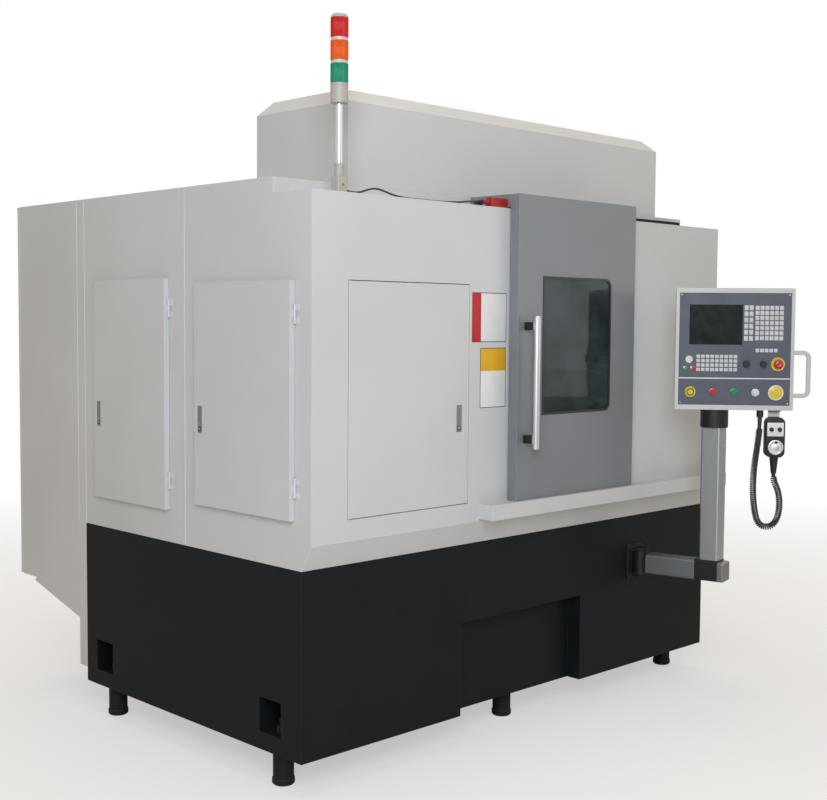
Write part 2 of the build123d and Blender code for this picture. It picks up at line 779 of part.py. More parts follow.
with BuildPart() as roof_hood:
    with BuildSketch(Plane.XY.offset(ROOF_TOP)):
        with Locations(hood_middle):
            Rectangle(hood_width, HOOD_DEPTH)
    extrude(amount=HOOD_WALL_TOP - ROOF_TOP)
    with BuildSketch(Plane.XY.offset(HOOD_WALL_TOP)):
        with Locations(hood_middle):
            Rectangle(hood_width, HOOD_DEPTH)
    with BuildSketch(Plane.XY.offset(HOOD_TOP)):
        with Locations(hood_middle):
            Rectangle(hood_width - 2 * HOOD_INSET_SIDE, HOOD_DEPTH - 2 * HOOD_INSET_FRONT)
    loft()
    offset(amount=-SHEET, openings=roof_hood.faces().sort_by(Axis.Z)[0])
save(roof_hood, "roof_hood")

# Rear posts with the gussets that carry the cabinet
with BuildPart() as cabinet_posts:
    for x in (LEFT, RIGHT - POST_WIDTH):
        block((x, x + POST_WIDTH), (BACK, CABINET_FRONT), (POST_BOTTOM, ROOF_TOP - SHEET))
        with BuildSketch(Plane.YZ.offset(x)):
            with BuildLine():
                Polyline(
                    (CABINET_FRONT, CABINET_BOTTOM),
                    (CABINET_FRONT + GUSSET_REACH, CABINET_BOTTOM),
                    (CABINET_FRONT + GUSSET_REACH + GUSSET_TIP / 2, CABINET_BOTTOM - GUSSET_TIP),
                    (CABINET_FRONT, CABINET_BOTTOM - GUSSET_ROOT),
                    close=True,
                )
            make_face()
        extrude(amount=POST_WIDTH)
save(cabinet_posts, "cabinet_posts")

# Electrical cabinet: two doorways, and a fixed middle panel with louvres between them
cabinet_doors = {
    "cabinet_left": (LEFT, LEFT + CABINET_DOOR_WIDTH),
    "cabinet_right": (RIGHT - CABINET_DOOR_WIDTH, RIGHT),
}
LOUVRE_COUNT = 9
LOUVRE_PITCH = 36
LOUVRE_HEIGHT = 12
LOUVRE_LENGTH = 480
LOUVRE_BOTTOM = 760

cabinet_door_z = (CABINET_BOTTOM + CABINET_DOOR_MARGIN, ROOF_TOP - CABINET_DOOR_MARGIN)
cabinet_pivot_y = CABINET_BACK + LEAF_GAP + LEAF / 2

with BuildPart() as electrical_cabinet:
    block((LEFT, RIGHT), (CABINET_FRONT, CABINET_BACK), (CABINET_BOTTOM, ROOF_TOP))
    block(
        (LEFT + CABINET_SHEET, RIGHT - CABINET_SHEET),
        (CABINET_FRONT + CABINET_SHEET, CABINET_BACK - CABINET_SHEET),
        (CABINET_BOTTOM + CABINET_SHEET, ROOF_TOP - CABINET_SHEET),
        Mode.SUBTRACT,
    )
    for low, high in cabinet_doors.values():
        block(
            (low + CABINET_LIP, high - CABINET_LIP),
            (CABINET_BACK - CABINET_SHEET, CABINET_BACK),
            (CABINET_BOTTOM + CABINET_LIP, ROOF_TOP - CABINET_LIP),
            Mode.SUBTRACT,
        )
    with BuildSketch(Plane.XZ.offset(-CABINET_BACK)):
        with Locations(((LEFT + RIGHT) / 2, LOUVRE_BOTTOM + LOUVRE_PITCH * (LOUVRE_COUNT - 1) / 2)):
            with GridLocations(LOUVRE_LENGTH, LOUVRE_PITCH, 1, LOUVRE_COUNT):
                Rectangle(LOUVRE_LENGTH, LOUVRE_HEIGHT)
    extrude(amount=CABINET_SHEET, mode=Mode.SUBTRACT)
    for name, (low, high) in cabinet_doors.items():
        hinge_side = low if name == "cabinet_left" else high
        inward = 1 if name == "cabinet_left" else -1
        tab_x = sorted((hinge_side, hinge_side + inward * PIVOT_TAB_LENGTH))
        pivot = (hinge_side + inward * PIVOT_INSET, cabinet_pivot_y)
        for tab_z, pin_start in (
            (cabinet_door_z[0] - PIVOT_TAB - LEAF_GAP, cabinet_door_z[0] - LEAF_GAP),
            (cabinet_door_z[1] + LEAF_GAP, cabinet_door_z[1] - ACCESS_PAN / 2),
        ):
            block(tab_x, (CABINET_BACK, CABINET_BACK + LEAF_GAP + LEAF), (tab_z, tab_z + PIVOT_TAB))
            with BuildSketch(Plane.XY.offset(pin_start)):
                with Locations(pivot):
                    Circle(PIVOT_RADIUS)
            extrude(amount=ACCESS_PAN / 2 + LEAF_GAP)
save(electrical_cabinet, "electrical_cabinet")

# Cabinet doors: pans on corner pivots, with a lift handle near the free edge
for name, (low, high) in cabinet_doors.items():
    hinge_side = low if name == "cabinet_left" else high
    inward = 1 if name == "cabinet_left" else -1
    face_y = CABINET_BACK + LEAF_GAP
    with BuildPart() as cabinet_door:
        block((low, high), (face_y, face_y + LEAF), cabinet_door_z)
        free_edge = hinge_side + inward * (CABINET_DOOR_WIDTH - LEAF_SHEET)
        block(
            sorted((hinge_side + inward * 2 * PIVOT_INSET, free_edge)),
            (face_y, face_y + LEAF - LEAF_SHEET),
            (cabinet_door_z[0] + LEAF_SHEET, cabinet_door_z[1] - LEAF_SHEET),
            Mode.SUBTRACT,
        )
        for start in (cabinet_door_z[0], cabinet_door_z[1] - ACCESS_PAN / 2 - KNUCKLE_GAP):
            with BuildSketch(Plane.XY.offset(start)):
                with Locations((hinge_side + inward * PIVOT_INSET, cabinet_pivot_y)):
                    Circle(PIVOT_RADIUS + PIN_CLEARANCE)
            extrude(amount=ACCESS_PAN / 2 + KNUCKLE_GAP, mode=Mode.SUBTRACT)
        hinge_edge = (
            cabinet_door.edges()
            .filter_by(Axis.Z)
            .sort_by_distance((hinge_side, face_y, (cabinet_door_z[0] + cabinet_door_z[1]) / 2))[0]
        )
        chamfer(hinge_edge, PIVOT_CHAMFER)
        bent_edge = (
            cabinet_door.edges()
            .filter_by(Axis.Z)
            .sort_by_distance((hinge_side, face_y + LEAF, (cabinet_door_z[0] + cabinet_door_z[1]) / 2))[0]
        )
        fillet(bent_edge, DOOR_BEND)
        handle_x = hinge_side + inward * (CABINET_DOOR_WIDTH - CABINET_HANDLE_INSET)
        block(
            (handle_x - CABINET_HANDLE_WIDTH / 2, handle_x + CABINET_HANDLE_WIDTH / 2),
            (face_y + LEAF, face_y + LEAF + CABINET_HANDLE_PROUD),
            (CABINET_HANDLE_BOTTOM, CABINET_HANDLE_BOTTOM + CABINET_HANDLE_HEIGHT),
        )
        outer = cabinet_door.faces().sort_by(Axis.Y)[-1]
        fillet(outer.edges(), CABINET_HANDLE_PROUD / 2)
    save(cabinet_door, f"{name}_door")

# Mounting plate in the cabinet, with rows of drives and a transformer
with BuildPart() as drive_units:
    plate_y = CABINET_FRONT + CABINET_SHEET + PLATE_STANDOFF
    plate_x = (LEFT + PLATE_MARGIN, RIGHT - PLATE_MARGIN)
    block(plate_x, (plate_y, plate_y + CABINET_SHEET), (PLATE_BOTTOM, PLATE_TOP))
    with BuildSketch(Plane.XZ.offset(-plate_y)):
        with Locations(((LEFT + RIGHT) / 2, (PLATE_BOTTOM + PLATE_TOP) / 2)):
            with GridLocations(
                (plate_x[1] - plate_x[0] - PLATE_MARGIN) / 2, PLATE_TOP - PLATE_BOTTOM - PLATE_MARGIN, 3, 2
            ):
                Circle(PLATE_STANDOFF / 3)
    extrude(amount=PLATE_STANDOFF)
    for count, width, height, depth, bottom in DRIVE_ROWS:
        with BuildSketch(Plane.XZ.offset(-plate_y - CABINET_SHEET)):
            with Locations(((LEFT + RIGHT) / 2, bottom + height / 2)):
                with GridLocations(width + DRIVE_GAP, height, count, 1):
                    Rectangle(width, height)
        extrude(amount=-depth)
save(drive_units, "drive_units")

# Door sill: a folded channel with the groove that the door's fin runs in
sill_top = DOOR_BOTTOM - SILL_GAP
door_front = FRONT - DOOR_STANDOFF - DOOR_THICK
door_back = FRONT - DOOR_STANDOFF
track_y = (door_front + door_back) / 2

with BuildPart() as door_sill:
    block((SILL_LEFT, RIGHT), (FRONT - SILL_PROUD, FRONT), (SILL_BOTTOM, sill_top))
    block(
        (SILL_LEFT + SHEET, RIGHT - SHEET),
        (FRONT - SILL_PROUD + SHEET, FRONT),
        (SILL_BOTTOM, sill_top - SHEET),
        Mode.SUBTRACT,
    )
    block(
        (SILL_LEFT, RIGHT),
        (track_y - TRACK_WIDTH / 2 - SHEET, track_y + TRACK_WIDTH / 2 + SHEET),
        (sill_top - TRACK_DEPTH - SHEET, sill_top),
    )
    block(
        (SILL_LEFT + SHEET, RIGHT - SHEET),
        (track_y - TRACK_WIDTH / 2, track_y + TRACK_WIDTH / 2),
        (sill_top - TRACK_DEPTH, sill_top),
        Mode.SUBTRACT,
    )
save(door_sill, "door_sill")

# Top rail of the sliding door, on the low roof strip
rail_top = STRIP_TOP + RAIL_HEIGHT

with BuildPart() as door_top_rail:
    block(
        (RAIL_LEFT, RAIL_LEFT + RAIL_LENGTH),
        (rail_y - RAIL_FOOT / 2, rail_y + RAIL_FOOT / 2),
        (STRIP_TOP, STRIP_TOP + RAIL_FOOT_THICK),
    )
    block(
        (RAIL_LEFT, RAIL_LEFT + RAIL_LENGTH),
        (rail_y - RAIL_WEB / 2, rail_y + RAIL_WEB / 2),
        (STRIP_TOP, rail_top),
    )
save(door_top_rail, "door_top_rail")

# Sliding door: a folded pan with a framed window, and a box on top that hides its guide shoes
door_right = DOOR_LEFT + DOOR_WIDTH
window_middle = (WINDOW_LEFT + WINDOW_WIDTH / 2, WINDOW_BOTTOM + WINDOW_HEIGHT / 2)


def window_outline(inset):
    """The window's outline in a sketch: square corners on the left, round ones on the right."""
    with BuildSketch(mode=Mode.PRIVATE) as outline:
        with Locations(window_middle):
            Rectangle(WINDOW_WIDTH, WINDOW_HEIGHT)
        fillet(outline.vertices().group_by(Axis.X)[-1], WINDOW_RADIUS)
        if inset:
            offset(amount=-inset, kind=Kind.INTERSECTION)
    add(outline.sketch)


with BuildPart() as sliding_door:
    block((DOOR_LEFT, door_right), (door_front, door_back), (DOOR_BOTTOM, DOOR_TOP))
    block(
        (DOOR_LEFT, door_right),
        (door_front, FRONT + DOOR_BOX_DEPTH),
        (DOOR_BOX_BOTTOM, DOOR_TOP),
    )
    block(
        (DOOR_LEFT + LEAF_SHEET, door_right - LEAF_SHEET),
        (door_front + LEAF_SHEET, door_back - LEAF_SHEET),
        (DOOR_BOTTOM + LEAF_SHEET, DOOR_TOP - LEAF_SHEET),
        Mode.SUBTRACT,
    )
    block(
        (DOOR_LEFT + LEAF_SHEET, door_right - LEAF_SHEET),
        (door_front + LEAF_SHEET, FRONT + DOOR_BOX_DEPTH - LEAF_SHEET),
        (DOOR_BOX_BOTTOM, DOOR_TOP - LEAF_SHEET),
        Mode.SUBTRACT,
    )
    block(
        (DOOR_LEFT, door_right),
        (rail_y - RAIL_FOOT / 2 - RAIL_CUTOUT, rail_y + RAIL_FOOT / 2 + RAIL_CUTOUT),
        (DOOR_BOX_BOTTOM, rail_top + RAIL_CUTOUT),
        Mode.SUBTRACT,
    )
    for shoe_x in (DOOR_LEFT + SHOE_LENGTH, door_right - 2 * SHOE_LENGTH):
        block(
            (shoe_x, shoe_x + SHOE_LENGTH),
            (rail_y - SHOE_WIDTH / 2, rail_y + SHOE_WIDTH / 2),
            (DOOR_BOX_BOTTOM + RAIL_CLEARANCE, DOOR_TOP - LEAF_SHEET),
        )
        block(
            (shoe_x, shoe_x + SHOE_LENGTH),
            (rail_y - RAIL_WEB / 2 - RAIL_CLEARANCE, rail_y + RAIL_WEB / 2 + RAIL_CLEARANCE),
            (DOOR_BOX_BOTTOM, rail_top + RAIL_CLEARANCE),
            Mode.SUBTRACT,
        )
    block(
        (DOOR_LEFT + SHOE_LENGTH, door_right - SHOE_LENGTH),
        (track_y - FIN_WIDTH / 2, track_y + FIN_WIDTH / 2),
        (DOOR_BOTTOM - FIN_HEIGHT, DOOR_BOTTOM),
    )
    with BuildSketch(Plane.XZ.offset(-door_front)):
        window_outline(-SHEET)
    extrude(amount=-DOOR_THICK)
    with BuildSketch(Plane.XZ.offset(-door_front)):
        window_outline(0)
    extrude(amount=-DOOR_THICK, mode=Mode.SUBTRACT)
save(sliding_door, "sliding_door")

gasket_front = door_front - GASKET_PROUD
glass_front = gasket_front + GASKET_LIP

with BuildPart() as window_gasket:
    with BuildSketch(Plane.XZ.offset(-gasket_front)):
        window_outline(0)
    extrude(amount=-(GLASS + 2 * GASKET_LIP))
    with BuildSketch(Plane.XZ.offset(-gasket_front)):
        window_outline(GASKET_WIDTH)
    extrude(amount=-(GLASS + 2 * GASKET_LIP), mode=Mode.SUBTRACT)
    with BuildSketch(Plane.XZ.offset(-glass_front)):
        window_outline(GASKET_WIDTH - GLASS_SEAT)
    extrude(amount=-GLASS, mode=Mode.SUBTRACT)
save(window_gasket, "window_gasket")

with BuildPart() as window_glass:
    with BuildSketch(Plane.XZ.offset(-glass_front)):
        window_outline(GASKET_WIDTH - GLASS_SEAT)
    extrude(amount=-GLASS)
save(window_glass, "window_glass")

# Door handle: an upright tube between two square stand-offs
grip_x = DOOR_LEFT + GRIP_INSET
grip_y = door_front - GRIP_REACH

with BuildPart() as door_handle:
    for end in (GRIP_BOTTOM + GRIP_BLOCK_INSET, GRIP_BOTTOM + GRIP_LENGTH - GRIP_BLOCK_INSET):
        block(
            (grip_x - GRIP_BLOCK / 2, grip_x + GRIP_BLOCK / 2),
            (grip_y, door_front),
            (end - GRIP_BLOCK / 2, end + GRIP_BLOCK / 2),
        )
    with BuildSketch(Plane.XY.offset(GRIP_BOTTOM)):
        with Locations((grip_x, grip_y)):
            Circle(GRIP_RADIUS)
    extrude(amount=GRIP_LENGTH)
    ends = door_handle.faces().filter_by(Axis.Z).sort_by(Axis.Z)
    chamfer(ends[0].edges() + ends[-1].edges(), GRIP_CHAMFER)
save(door_handle, "door_handle")

# Tower lamp: foot, box, pole and housing with the stem, rings and cap that hold three lenses
lamp_base_top = LAMP_BASE_BOTTOM + LAMP_BASE_HEIGHT
lens_pitch = LAMP_LENS_HEIGHT + LAMP_RING_HEIGHT
LENSES = ("lamp_green", "lamp_orange", "lamp_red")
stack_top = lamp_base_top + len(LENSES) * lens_pitch - LAMP_RING_HEIGHT

with BuildPart() as lamp_stand:
    foot_x = LAMP_X - LAMP_BOX / 2
    block(
        (foot_x, foot_x + LAMP_FOOT_LENGTH),
        (LAMP_Y - LAMP_FOOT_WIDTH / 2, LAMP_Y + LAMP_FOOT_WIDTH / 2),
        (STRIP_TOP, STRIP_TOP + LAMP_FOOT_THICK),
    )
    with BuildSketch(Plane.XY.offset(STRIP_TOP)):
        with Locations((LAMP_X, LAMP_Y)):
            RectangleRounded(LAMP_BOX, LAMP_BOX, LAMP_FOOT_THICK)
    extrude(amount=LAMP_FOOT_THICK + LAMP_BOX_HEIGHT)
    with BuildSketch(Plane.XZ.offset(-LAMP_Y)):
        with BuildLine():
            Polyline(
                (LAMP_X, STRIP_TOP),
                (LAMP_X + SOCKET_RADIUS, STRIP_TOP),
                (LAMP_X + SOCKET_RADIUS, SOCKET_TOP),
                (LAMP_X + POLE_RADIUS, SOCKET_TOP),
                (LAMP_X + POLE_RADIUS, LAMP_BASE_BOTTOM),
                (LAMP_X + LAMP_RADIUS, LAMP_BASE_BOTTOM),
                (LAMP_X + LAMP_RADIUS, lamp_base_top),
                (LAMP_X + LAMP_STEM_RADIUS, lamp_base_top),
                (LAMP_X + LAMP_STEM_RADIUS, stack_top),
                (LAMP_X + LAMP_RADIUS, stack_top),
                (LAMP_X + LAMP_RADIUS, stack_top + LAMP_CAP_HEIGHT / 2),
                (LAMP_X + LAMP_RADIUS - LAMP_CAP_HEIGHT / 2, stack_top + LAMP_CAP_HEIGHT),
                (LAMP_X, stack_top + LAMP_CAP_HEIGHT),
                close=True,
            )
        make_face()
    revolve(axis=Axis((LAMP_X, LAMP_Y, 0), (0, 0, 1)))
    for index in range(1, len(LENSES)):
        with BuildSketch(Plane.XY.offset(lamp_base_top + index * lens_pitch - LAMP_RING_HEIGHT)):
            with Locations((LAMP_X, LAMP_Y)):
                Circle(LAMP_RING_RADIUS)
        extrude(amount=LAMP_RING_HEIGHT)
save(lamp_stand, "lamp_stand")

for index, name in enumerate(LENSES):
    with BuildPart() as lens:
        with BuildSketch(Plane.XY.offset(lamp_base_top + index * lens_pitch)):
            with Locations((LAMP_X, LAMP_Y)):
                Circle(LAMP_RADIUS)
                Circle(LAMP_RADIUS - LAMP_SHELL, mode=Mode.SUBTRACT)
        extrude(amount=LAMP_LENS_HEIGHT)
    save(lens, name)

# Interlock switch on the roof strip, with its plug
cable_start = (LAMP_X + LAMP_BOX / 2, LAMP_Y, STRIP_TOP + CABLE_START_HEIGHT)
plug_y = SWITCH_FRONT + SWITCH_DEPTH / 2
plug_z = STRIP_TOP + PLUG_HEIGHT

with BuildPart() as interlock_switch:
    block(
        (SWITCH_LEFT, SWITCH_LEFT + SWITCH_LENGTH),
        (SWITCH_FRONT, SWITCH_FRONT + SWITCH_DEPTH),
        (STRIP_TOP, STRIP_TOP + SWITCH_HEIGHT),
    )
    fillet(interlock_switch.edges().filter_by(Axis.Z), SWITCH_CORNER)
    with BuildSketch(Plane(origin=(SWITCH_LEFT, plug_y, plug_z), x_dir=(0, 1, 0), z_dir=(-1, 0, 0))):
        Circle(PLUG_RADIUS)
    extrude(amount=PLUG_LENGTH, taper=PLUG_TAPER)
save(interlock_switch, "interlock_switch")


def corner_radii(points):
    """The largest arc at each corner that the two runs beside it allow."""
    radii = []
    for before, corner, after in zip(points, points[1:], points[2:]):
        first = Vector(*corner) - Vector(*before)
        second = Vector(*after) - Vector(*corner)
        shorter = min(first.length, second.length)
        radii.append(0.45 * shorter / tan(radians(first.get_angle(second) / 2)))
    return radii


def save_cord(points, radius, name):
    """A cord's tube along straight runs joined by tangent arcs, with its figures printed."""
    radii = corner_radii(points)
    first = Vector(*points[1]) - Vector(*points[0])
    with BuildPart() as cord:
        with BuildLine() as route:
            FilletPolyline(*points, radius=radii)
        with BuildSketch(Plane(origin=points[0], z_dir=first)):
            Circle(radius)
        sweep(path=route.wire())
    length = route.wire().length
    print(name, "radii", [round(value) for value in radii], "length", round(length))
    print(name, "volume", round(cord.part.volume), "section x length", round(pi * radius**2 * length))
    save(cord, name)


cable_end = (SWITCH_LEFT - PLUG_LENGTH, plug_y, plug_z)
save_cord(
    [tuple(start + step for start, step in zip(cable_start, point)) for point in CABLE_ROUTE] + [cable_end],
    CABLE_RADIUS,
    "interlock_cable",
)

# Bracket of the swing arm: a plate on the base, two lugs and the pivot pin
lug_low = ARM_MIDDLE - KNUCKLE_DRUM_HEIGHT / 2 - LUG_GAP - PIVOT_LUG
lug_high = ARM_MIDDLE + KNUCKLE_DRUM_HEIGHT / 2 + LUG_GAP
lug_radius = KNUCKLE_DRUM_RADIUS - LUG_STEP

with BuildPart() as arm_bracket:
    block(
        (ARM_PIVOT_X - PIVOT_PLATE_WIDTH / 2, ARM_PIVOT_X + PIVOT_PLATE_WIDTH / 2),
        (BASE_FRONT - PIVOT_PLATE, BASE_FRONT),
        (ARM_MIDDLE - PIVOT_PLATE_HEIGHT / 2, ARM_MIDDLE + PIVOT_PLATE_HEIGHT / 2),
    )
    for low in (lug_low, lug_high):
        with BuildSketch(Plane.XY.offset(low)):
            with Locations((ARM_PIVOT_X, ARM_PIVOT_Y)):
                Circle(lug_radius)
            with Locations((ARM_PIVOT_X, (ARM_PIVOT_Y + BASE_FRONT - PIVOT_PLATE) / 2)):
                Rectangle(2 * lug_radius, BASE_FRONT - PIVOT_PLATE - ARM_PIVOT_Y)
        extrude(amount=PIVOT_LUG)
    with BuildSketch(Plane.XY.offset(lug_low)):
        with Locations((ARM_PIVOT_X, ARM_PIVOT_Y)):
            Circle(PIVOT_PIN_RADIUS)
    extrude(amount=lug_high + PIVOT_LUG - lug_low)
save(arm_bracket, "arm_bracket")

# Swing arm: the along direction points away from the pivot, and the column stands at its end
along = Vector(sin(radians(ARM_TURN)), -cos(radians(ARM_TURN)), 0)
arm_pivot = Vector(ARM_PIVOT_X, ARM_PIVOT_Y, ARM_MIDDLE)
column_axis = arm_pivot + along * ARM_REACH
tube_inside = ARM_SECTION - 2 * ARM_WALL
elbow_end = ARM_REACH + ARM_SECTION / 2
elbow_rise = COLUMN_BOTTOM - ARM_MIDDLE - ARM_SECTION / 2


def arm_plane(distance):
    """The plane square to the arm, at a distance from its pivot."""
    return Plane(origin=arm_pivot + along * distance, x_dir=(0, 0, 1), z_dir=along)


def column_plane(height):
    """The level plane through the column, turned with the arm."""
    return Plane(origin=(column_axis.X, column_axis.Y, height), x_dir=along, z_dir=(0, 0, 1))


with BuildPart() as arm_tube:
    arm_length = ELBOW_START - ARM_START
    rounded_tube(arm_plane(ARM_START), ARM_SECTION, ARM_SECTION, ARM_WALL, ARM_CORNER, arm_length)
    with BuildSketch(arm_plane(elbow_end)):
        RectangleRounded(ARM_SECTION, ARM_SECTION, ARM_CORNER)
    extrude(amount=END_CAP)
    cap_end = arm_tube.faces().sort_by(Axis((0, 0, 0), tuple(along)))[-1]
    fillet(cap_end.edges(), ARM_CORNER - 1)
save(arm_tube, "arm_tube")

panel_bottom = PANEL_MIDDLE - PANEL_HEIGHT / 2
collar_top = panel_bottom - COLLAR_GAP

with BuildPart() as arm_couplings:
    with BuildSketch(Plane.XY.offset(ARM_MIDDLE - KNUCKLE_DRUM_HEIGHT / 2)):
        with Locations((ARM_PIVOT_X, ARM_PIVOT_Y)):
            Circle(KNUCKLE_DRUM_RADIUS)
    extrude(amount=KNUCKLE_DRUM_HEIGHT)
    with BuildSketch(arm_plane(0)):
        Rectangle(tube_inside - 2 * ARM_WALL, tube_inside - 2 * ARM_WALL)
    extrude(amount=ARM_START)
    with BuildSketch(arm_plane(ARM_START)):
        RectangleRounded(tube_inside, tube_inside, ARM_CORNER - ARM_WALL / 2)
    extrude(amount=SPIGOT)
    with BuildSketch(Plane.XY.offset(ARM_MIDDLE - KNUCKLE_DRUM_HEIGHT / 2)):
        with Locations((ARM_PIVOT_X, ARM_PIVOT_Y)):
            Circle(PIVOT_PIN_RADIUS + PIVOT_CLEARANCE)
    extrude(amount=KNUCKLE_DRUM_HEIGHT, mode=Mode.SUBTRACT)
    with BuildSketch(arm_plane(ELBOW_START)):
        with Locations((elbow_rise / 2, 0)):
            RectangleRounded(ARM_SECTION + elbow_rise, ARM_SECTION, ARM_CORNER)
    extrude(amount=elbow_end - ELBOW_START)
    with BuildSketch(arm_plane(ELBOW_START)):
        RectangleRounded(tube_inside, tube_inside, ARM_CORNER - ARM_WALL / 2)
    extrude(amount=-SPIGOT)
    for end, amount in ((COLUMN_BOTTOM, SPIGOT), (COLLAR_BOTTOM, -SPIGOT)):
        with BuildSketch(column_plane(end)):
            RectangleRounded(tube_inside, tube_inside, ARM_CORNER - ARM_WALL / 2)
        extrude(amount=amount)
    with BuildSketch(column_plane(COLLAR_BOTTOM)):
        Circle(COLLAR_RADIUS)
    extrude(amount=collar_top - COLLAR_BOTTOM)
    with BuildSketch(column_plane(collar_top)):
        Circle(SWIVEL_PIN_RADIUS + PIVOT_CLEARANCE)
    extrude(amount=-(SPIGOT + COLLAR_GAP), mode=Mode.SUBTRACT)
save(arm_couplings, "arm_couplings")

with BuildPart() as column_tube:
    rounded_tube(
        column_plane(COLUMN_BOTTOM), ARM_SECTION, ARM_SECTION, ARM_WALL, ARM_CORNER,
        COLLAR_BOTTOM - COLUMN_BOTTOM,
    )
save(column_tube, "column_tube")

# Control panel: sketches lie on its face, with x to the operator's right and z towards the operator
facing = Vector(-sin(radians(PANEL_FACING)), -cos(radians(PANEL_FACING)), 0)
sideways = Vector(cos(radians(PANEL_FACING)), -sin(radians(PANEL_FACING)), 0)
panel_shift = sideways * PANEL_SIDE_SHIFT + facing * PANEL_FORWARD
panel_middle = Vector(column_axis.X, column_axis.Y, PANEL_MIDDLE) + panel_shift
rim_front = Plane(origin=panel_middle, x_dir=sideways, z_dir=facing)
face_front = rim_front.offset(-FACE_DROP)
face_back = face_front.offset(-FACE_THICK)
face_width = PANEL_WIDTH - 2 * PANEL_RIM
face_height = PANEL_HEIGHT - 2 * PANEL_RIM_TALL
body_width = PANEL_WIDTH - 2 * BACK_INSET
body_height = PANEL_HEIGHT - 2 * BACK_INSET

with BuildPart() as panel_housing:
    with BuildSketch(rim_front):
        RectangleRounded(PANEL_WIDTH, PANEL_HEIGHT, PANEL_CORNER)
    extrude(amount=-PANEL_RIM_DEPTH)
    with BuildSketch(rim_front.offset(-PANEL_RIM_DEPTH)):
        RectangleRounded(body_width, body_height, PANEL_CORNER)
    extrude(amount=-(PANEL_DEPTH - PANEL_RIM_DEPTH))
    with BuildSketch(column_plane(panel_bottom)):
        Circle(COLLAR_RADIUS - PANEL_WALL)
    extrude(amount=BACK_INSET + PANEL_WALL)
    with BuildSketch(rim_front.offset(-FACE_DROP - FACE_THICK)):
        Rectangle(body_width - 2 * PANEL_WALL, body_height - 2 * PANEL_WALL)
        Rectangle(face_width - 2 * PANEL_WALL, face_height - 2 * PANEL_WALL, mode=Mode.INTERSECT)
    extrude(amount=-(PANEL_DEPTH - PANEL_WALL - FACE_DROP - FACE_THICK), mode=Mode.SUBTRACT)
    with BuildSketch(rim_front):
        Rectangle(face_width, face_height)
    extrude(amount=-(FACE_DROP + FACE_THICK), mode=Mode.SUBTRACT)
    with BuildSketch(column_plane(panel_bottom)):
        Circle(SWIVEL_PIN_RADIUS)
    extrude(amount=-SPIGOT)
save(panel_housing, "panel_housing")

buttons = {
    "key_switch": (-176, BUTTON_ROW),
    "red_button": (-85, BUTTON_ROW),
    "green_button": (0, BUTTON_ROW),
    "white_button": (87, BUTTON_ROW),
}
knobs = {"feed_knob": (48, -60), "speed_knob": (117, -60)}
stop_place = (175, -60)
blank_place = (169, BUTTON_ROW)

with BuildPart() as panel_face:
    with BuildSketch(face_front):
        Rectangle(face_width, face_height)
    extrude(amount=-FACE_THICK)
    with BuildSketch(face_front):
        with Locations((0, DIVIDER_HEIGHT)):
            Rectangle(face_width, DIVIDER)
    extrude(amount=-FACE_THICK / 2, mode=Mode.SUBTRACT)
    with BuildSketch(face_front):
        with Locations((SCREEN_LEFT + SCREEN_WIDTH / 2, SCREEN_BOTTOM + SCREEN_HEIGHT / 2)):
            Rectangle(SCREEN_WIDTH, SCREEN_HEIGHT)
    extrude(amount=-FACE_THICK, mode=Mode.SUBTRACT)
    with BuildSketch(face_front):
        with Locations(*buttons.values()):
            Circle(BEZEL_RADIUS)
    extrude(amount=BEZEL_PROUD)
    with BuildSketch(face_front.offset(BEZEL_PROUD)):
        with Locations(*buttons.values()):
            Circle(BUTTON_RADIUS + BUTTON_BORE_CLEARANCE)
    extrude(amount=-(FACE_THICK + BEZEL_PROUD), mode=Mode.SUBTRACT)
    with BuildSketch(face_front):
        with Locations(*knobs.values()):
            Circle(KNOB_SHAFT_RADIUS + BUTTON_BORE_CLEARANCE)
        with Locations(stop_place):
            Circle(STOP_STEM + BUTTON_BORE_CLEARANCE)
    extrude(amount=-FACE_THICK, mode=Mode.SUBTRACT)
save(panel_face, "panel_face")

with BuildPart() as panel_screen:
    with BuildSketch(face_back):
        with Locations((SCREEN_LEFT + SCREEN_WIDTH / 2, SCREEN_BOTTOM + SCREEN_HEIGHT / 2)):
            Rectangle(SCREEN_WIDTH, SCREEN_HEIGHT)
    extrude(amount=SCREEN_THICK)
save(panel_screen, "panel_screen")

# Fields of film keys: middle of the field, columns, rows, pitch and size of one key
KEY_FIELDS = (
    ((54.5, 107), 2, 6, (20, 25), (16, 20)),
    ((137, 107.5), 6, 7, (19.4, 20.6), (16, 17)),
    ((128, -4.5), 5, 1, (18.2, 18), (15, 15)),
    ((-71, -57.5), 9, 4, (18.7, 18), (15, 14)),
    ((-182, -81), 2, 1, (28, 20), (20, 20)),
)

with BuildPart() as panel_keys:
    for middle, columns, rows, pitch, size in KEY_FIELDS:
        with BuildSketch(face_front):
            with Locations(middle):
                with GridLocations(pitch[0], pitch[1], columns, rows):
                    Rectangle(*size)
        extrude(amount=KEY_HEIGHT)
    with BuildSketch(face_front):
        with Locations(stop_place):
            Circle(STOP_RING_RADIUS)
            Circle(STOP_STEM + BUTTON_BORE_CLEARANCE, mode=Mode.SUBTRACT)
        with Locations(blank_place):
            Circle(BEZEL_RADIUS)
        with Locations(SOUNDER_PLACE):
            Circle(BEZEL_RADIUS)
    extrude(amount=BEZEL_PROUD)
save(panel_keys, "panel_keys")

